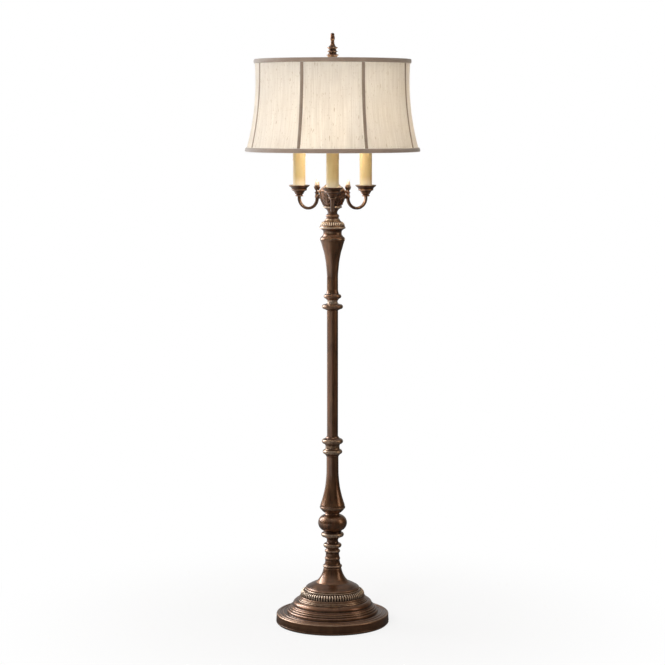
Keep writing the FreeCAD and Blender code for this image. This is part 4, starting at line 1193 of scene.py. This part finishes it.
RIB_COUNT = 8
RIB_FIRST_ANGLE = 22.5
PANEL_COLUMNS = 20
PANEL_ROWS = 44
PANEL_SAG = 3.0 * MM
SIDE_HEIGHTS = 120          # at which the slope of the shade's side is read
CLOTH_STEP = 0.4            # metres between the stretches of cloth that two panels are cut from
SILK_LIGHT = (0.88, 0.855, 0.825, 1)
SILK = (0.69, 0.65, 0.615, 1)
SILK_SLUB = (0.36, 0.27, 0.19, 1)
SILK_LIT = (0.95, 0.93, 0.88, 1)     # the silk with light behind it
LINING_COLOUR = (0.94, 0.92, 0.87, 1)
LINING_DULL = (0.89, 0.86, 0.79, 1)
SILK_THROUGH = 0.60         # share of the light that goes through the cloth
LINING_THROUGH = 0.8


def side_line(node_name):
    """The outer side of a shade layer, as radius by height, and its thickness."""
    line, _ = section_of(node_name)
    low, high = line[:, 1].min(), line[:, 1].max()
    line = respaced(line, True, SAMPLE)
    heights = np.linspace(low, high, SIDE_HEIGHTS)
    outer, inner = [], []
    for height in heights:
        near = line[np.abs(line[:, 1] - height) < 1.2 * SAMPLE]
        outer.append(near[:, 0].max())
        inner.append(near[:, 0].min())
    thickness = float(np.median(np.array(outer) - np.array(inner)))
    return heights, np.array(outer), thickness


def panel_sag(turn, share):
    """How far a panel lies inside the round: nothing at its seams, its top and its bottom."""
    pitch = 2 * math.pi / RIB_COUNT
    across = ((turn - math.radians(RIB_FIRST_ANGLE)) % pitch) / pitch * 2 - 1
    return PANEL_SAG * (1 - across ** 2) * math.sin(math.pi * share) ** 0.8


def cloth_layer(name, node_name, material):
    """A closed skin of eight panels, with the threads' own coordinates in metres as its UV map."""
    heights, radii, thickness = side_line(node_name)
    columns = RIB_COUNT * PANEL_COLUMNS
    points = []
    for skin in (0.0, thickness):
        for row in range(PANEL_ROWS + 1):
            share = row / PANEL_ROWS
            height = heights[0] + (heights[-1] - heights[0]) * share
            radius = float(np.interp(height, heights, radii))
            for column in range(columns):
                turn = math.radians(RIB_FIRST_ANGLE) + 2 * math.pi * column / columns
                far = radius - skin - panel_sag(turn, share)
                points.append((far * math.cos(turn), far * math.sin(turn), height))
    faces = slab_faces(PANEL_ROWS + 1, columns, around=True)
    made = make_piece(name, points, faces, material, "shade", [node_name])
    thread_map(made.data, points)
    return made


def thread_map(mesh, points):
    """UV in metres: across from the middle of its panel, and up.

    Each panel has its own stretch of cloth.
    """
    layer = mesh.uv_layers.new(name="threads")
    first = math.radians(RIB_FIRST_ANGLE)
    pitch = 2 * math.pi / RIB_COUNT
    for face in mesh.polygons:
        middle = math.atan2(face.center.y, face.center.x)
        panel = int(((middle - first) % (2 * math.pi)) / pitch)
        centre = first + (panel + 0.5) * pitch
        for corner in face.loop_indices:
            x, y, z = points[mesh.loops[corner].vertex_index]
            away = (math.atan2(y, x) - centre + math.pi) % (2 * math.pi) - math.pi
            layer.data[corner].uv = (math.hypot(x, y) * away + panel * CLOTH_STEP, z)


def cloth_shader(tree, colour, through, relief, roughness, share, sheen=0.12):
    """Close a material with a matt cloth that lets that share of the light through."""
    inputs = {"Base Color": colour, "Roughness": roughness, "Normal": relief, "Sheen Weight": sheen,
              "Specular IOR Level": 0.25}
    face = node(tree, "ShaderNodeBsdfPrincipled", inputs)
    back = node(tree, "ShaderNodeBsdfTranslucent", {"Color": through, "Normal": relief})
    mixed = node(tree, "ShaderNodeMixShader", {0: share, 1: face.outputs[0], 2: back.outputs[0]})
    node(tree, "ShaderNodeOutputMaterial", {"Surface": mixed.outputs[0]})


def slubbed_silk():
    """Plain-woven silk: fine upright threads, thick and thin yarns, and short dark slubs."""
    material, tree = new_material("slubbed_silk")
    threads = node(tree, "ShaderNodeUVMap", uv_map="threads").outputs[0]

    def woven(across, up, scale, detail=3.0, roughness=0.6):
        inputs = {"Vector": threads, "Scale": (across, up, 1)}
        stretched = node(tree, "ShaderNodeMapping", inputs).outputs[0]
        return noise(tree, stretched, scale, detail, roughness)

    warp = woven(1, 0.03, 380, 4.0)
    weft = woven(0.05, 1, 430, 3.0)
    yarn = woven(1, 0.03, 130, 3.0)
    slub = woven(1, 0.17, 300, 2.0, 0.4)
    knot = woven(1, 0.22, 480, 2.0, 0.4)
    cloud = woven(1, 0.7, 9, 3.0)
    fine_tone = scaled(tree, warp, 0.34, 0.66, 0, 0.5)
    tone = calc(tree, "ADD", fine_tone, scaled(tree, yarn, 0.34, 0.66, 0, 0.35))
    tone = calc(tree, "ADD", tone, scaled(tree, cloud, 0.35, 0.65, 0, 0.15))
    colour = blend_colour(tree, tone, SILK, SILK_LIGHT)
    colour = blend_colour(tree, scaled(tree, weft, 0.58, 0.76, 0, 0.22), colour, SILK_SLUB)
    colour = blend_colour(tree, scaled(tree, slub, 0.66, 0.73, 0, 0.72), colour, SILK_SLUB)
    colour = blend_colour(tree, scaled(tree, knot, 0.67, 0.74, 0, 0.72), colour, SILK_SLUB)
    height = calc(tree, "ADD", warp, calc(tree, "MULTIPLY", weft, 0.6))
    height = calc(tree, "ADD", height, calc(tree, "MULTIPLY", slub, 0.8))
    through = blend_colour(tree, 0.35, colour, SILK_LIT)
    cloth_shader(tree, colour, through, bump(tree, height, 0.18 * MM, 0.7), 0.62, SILK_THROUGH)
    return material


def lining_cloth():
    material, tree = new_material("lining_cloth")
    threads = node(tree, "ShaderNodeUVMap", uv_map="threads").outputs[0]
    weave = noise(tree, threads, 900, 3.0)
    cloud = noise(tree, threads, 14, 3.0)
    colour = blend_colour(tree, scaled(tree, cloud, 0.4, 0.65), LINING_COLOUR, LINING_DULL)
    cloth_shader(tree, colour, colour, bump(tree, weave, 0.08 * MM), 0.75, LINING_THROUGH)
    return material


silk_cover = cloth_layer("shade_silk", "shade_fabric", slubbed_silk())
lining = cloth_layer("shade_lining", "shade_liner", lining_cloth())


# Trims and rib tapes
# A folded band of taupe cloth binds each edge of the shade, padded by the turned-in silk, and a
# narrow tape of the same cloth is glued down over each seam.

TRIM_COLOUR = (0.284, 0.206, 0.156, 1)
TRIM_LIGHT = (0.384, 0.293, 0.228, 1)
TRIM_PUFF = 2.3 * MM        # how far a trim stands out past its CAD solid
TRIM_CLEAR = 0.5 * MM       # from the silk to the trim's two long edges
TRIM_CLOTH = 0.8 * MM
TRIM_BACK = 0.25 * MM       # from the silk to the back of the trim
FOLD_WIDTH = 4.0 * MM       # how far it goes down inside the shade
FOLD_REACH = 2.2 * MM       # and how far inwards
FOLD_CORNER = 0.5 * MM      # how far its corners keep from its edges
TRIM_SOFTNESS = 0.5 * MM
TRIM_SECTION_STEPS = 10
TRIM_COLUMNS = 288
TAPE_HALF_WIDTH = 4.6 * MM
TAPE_PUFF = 0.9 * MM
TAPE_EDGE = 0.6 * MM        # from the silk to the tape's outer face at its edges
TAPE_BACK = 0.25 * MM
TAPE_ROWS = 60
TAPE_COLUMNS = 8


def binding_cloth():
    """Close twill in taupe, slightly gathered along the band."""
    material, tree = new_material("binding_cloth")
    place = object_place(tree)
    fine = noise(tree, object_place(tree, (1, 1, 0.5)), 1100, 3.0)
    gather = noise(tree, object_place(tree, (1, 1, 0.2)), 210, 3.0)
    cloud = noise(tree, place, 30, 3.0)
    tone = calc(tree, "ADD", scaled(tree, fine, 0.3, 0.7, 0, 0.55), scaled(tree, cloud, 0.4, 0.65, 0, 0.45))
    colour = blend_colour(tree, tone, TRIM_COLOUR, TRIM_LIGHT)
    relief = bump(tree, fine, 0.12 * MM, 0.6)
    relief = bump(tree, gather, 0.5 * MM, 0.35, relief)
    cloth_shader(tree, colour, colour, relief, 0.7, 0.08, 1.0)
    return material


binding = binding_cloth()


def folded_band(name, node_name, low, high, fold_at_top):
    """A padded band round the shade, wrapped over its edge."""
    heights, radii, _ = side_line("shade_fabric")
    middle, half = (low + high) / 2, (high - low) / 2
    loop = []
    for step in range(TRIM_SECTION_STEPS + 1):
        turn = -math.pi / 2 + math.pi * step / TRIM_SECTION_STEPS
        height = middle + half * math.sin(turn)
        radius = float(np.interp(height, heights, radii))
        loop.append((radius + TRIM_CLEAR + (TRIM_CLOTH + TRIM_PUFF) * math.cos(turn) ** 0.7, height))
    inner_low, inner_high = (high - FOLD_WIDTH, high) if fold_at_top else (low, low + FOLD_WIDTH)
    for height in (high, inner_high - FOLD_CORNER, inner_low + FOLD_CORNER, low):
        radius = float(np.interp(height, heights, radii))
        inside = inner_low <= height <= inner_high
        loop.append((radius - FOLD_REACH if inside else radius + TRIM_BACK, height))
    line = averaged(respaced(np.array(loop), True, SAMPLE), True, TRIM_SOFTNESS)[::2]
    points, faces, _ = lathe(line, True, TRIM_COLUMNS)
    return make_piece(name, points, faces, binding, "shade", [node_name])


def rib_tape(turn):
    """Points, faces and crests of one tape, laid on the silk over its rib."""
    heights, radii, _ = side_line("shade_fabric")
    low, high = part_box("rib_tapes")[0].z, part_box("rib_tapes")[1].z
    points = []
    for skin in ("face", "back"):
        for row in range(TAPE_ROWS + 1):
            height = low + (high - low) * row / TAPE_ROWS
            radius = float(np.interp(height, heights, radii))
            for column in range(TAPE_COLUMNS + 1):
                side = 2 * column / TAPE_COLUMNS - 1
                crown = TAPE_EDGE + TAPE_PUFF * math.sqrt(max(1 - side ** 2, 0))
                far = radius + (crown if skin == "face" else TAPE_BACK)
                away = turn + side * TAPE_HALF_WIDTH / radius
                points.append((far * math.cos(away), far * math.sin(away), height))
    return points, slab_faces(TAPE_ROWS + 1, TAPE_COLUMNS + 1), [0] * len(points)


top_low, top_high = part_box("top_trim")[0].z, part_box("top_trim")[1].z
bottom_low, bottom_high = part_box("bottom_trim")[0].z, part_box("bottom_trim")[1].z
top_band = folded_band("top_binding", "top_trim", top_low, top_high, True)
bottom_band = folded_band("bottom_binding", "bottom_trim", bottom_low, bottom_high, False)
tape_turns = [math.radians(RIB_FIRST_ANGLE + number * 360.0 / RIB_COUNT) for number in range(RIB_COUNT)]
points, faces, _ = joined(*[rib_tape(turn) for turn in tape_turns])
tapes = make_piece("rib_seam_tapes", points, faces, binding, "shade", ["rib_tapes"])


def cut_size(node_name):
    """The flat width, length and area of the cloth in one layer of the shade, in metres."""
    heights, radii, _ = side_line(node_name)
    steps = np.hypot(np.diff(heights), np.diff(radii))
    area = float(np.sum(2 * math.pi * (radii[1:] + radii[:-1]) / 2 * steps))
    return (float(2 * math.pi * radii.max()), float(steps.sum())), area


flat, area = cut_size("shade_fabric")
flat, area = cut_size("shade_liner")
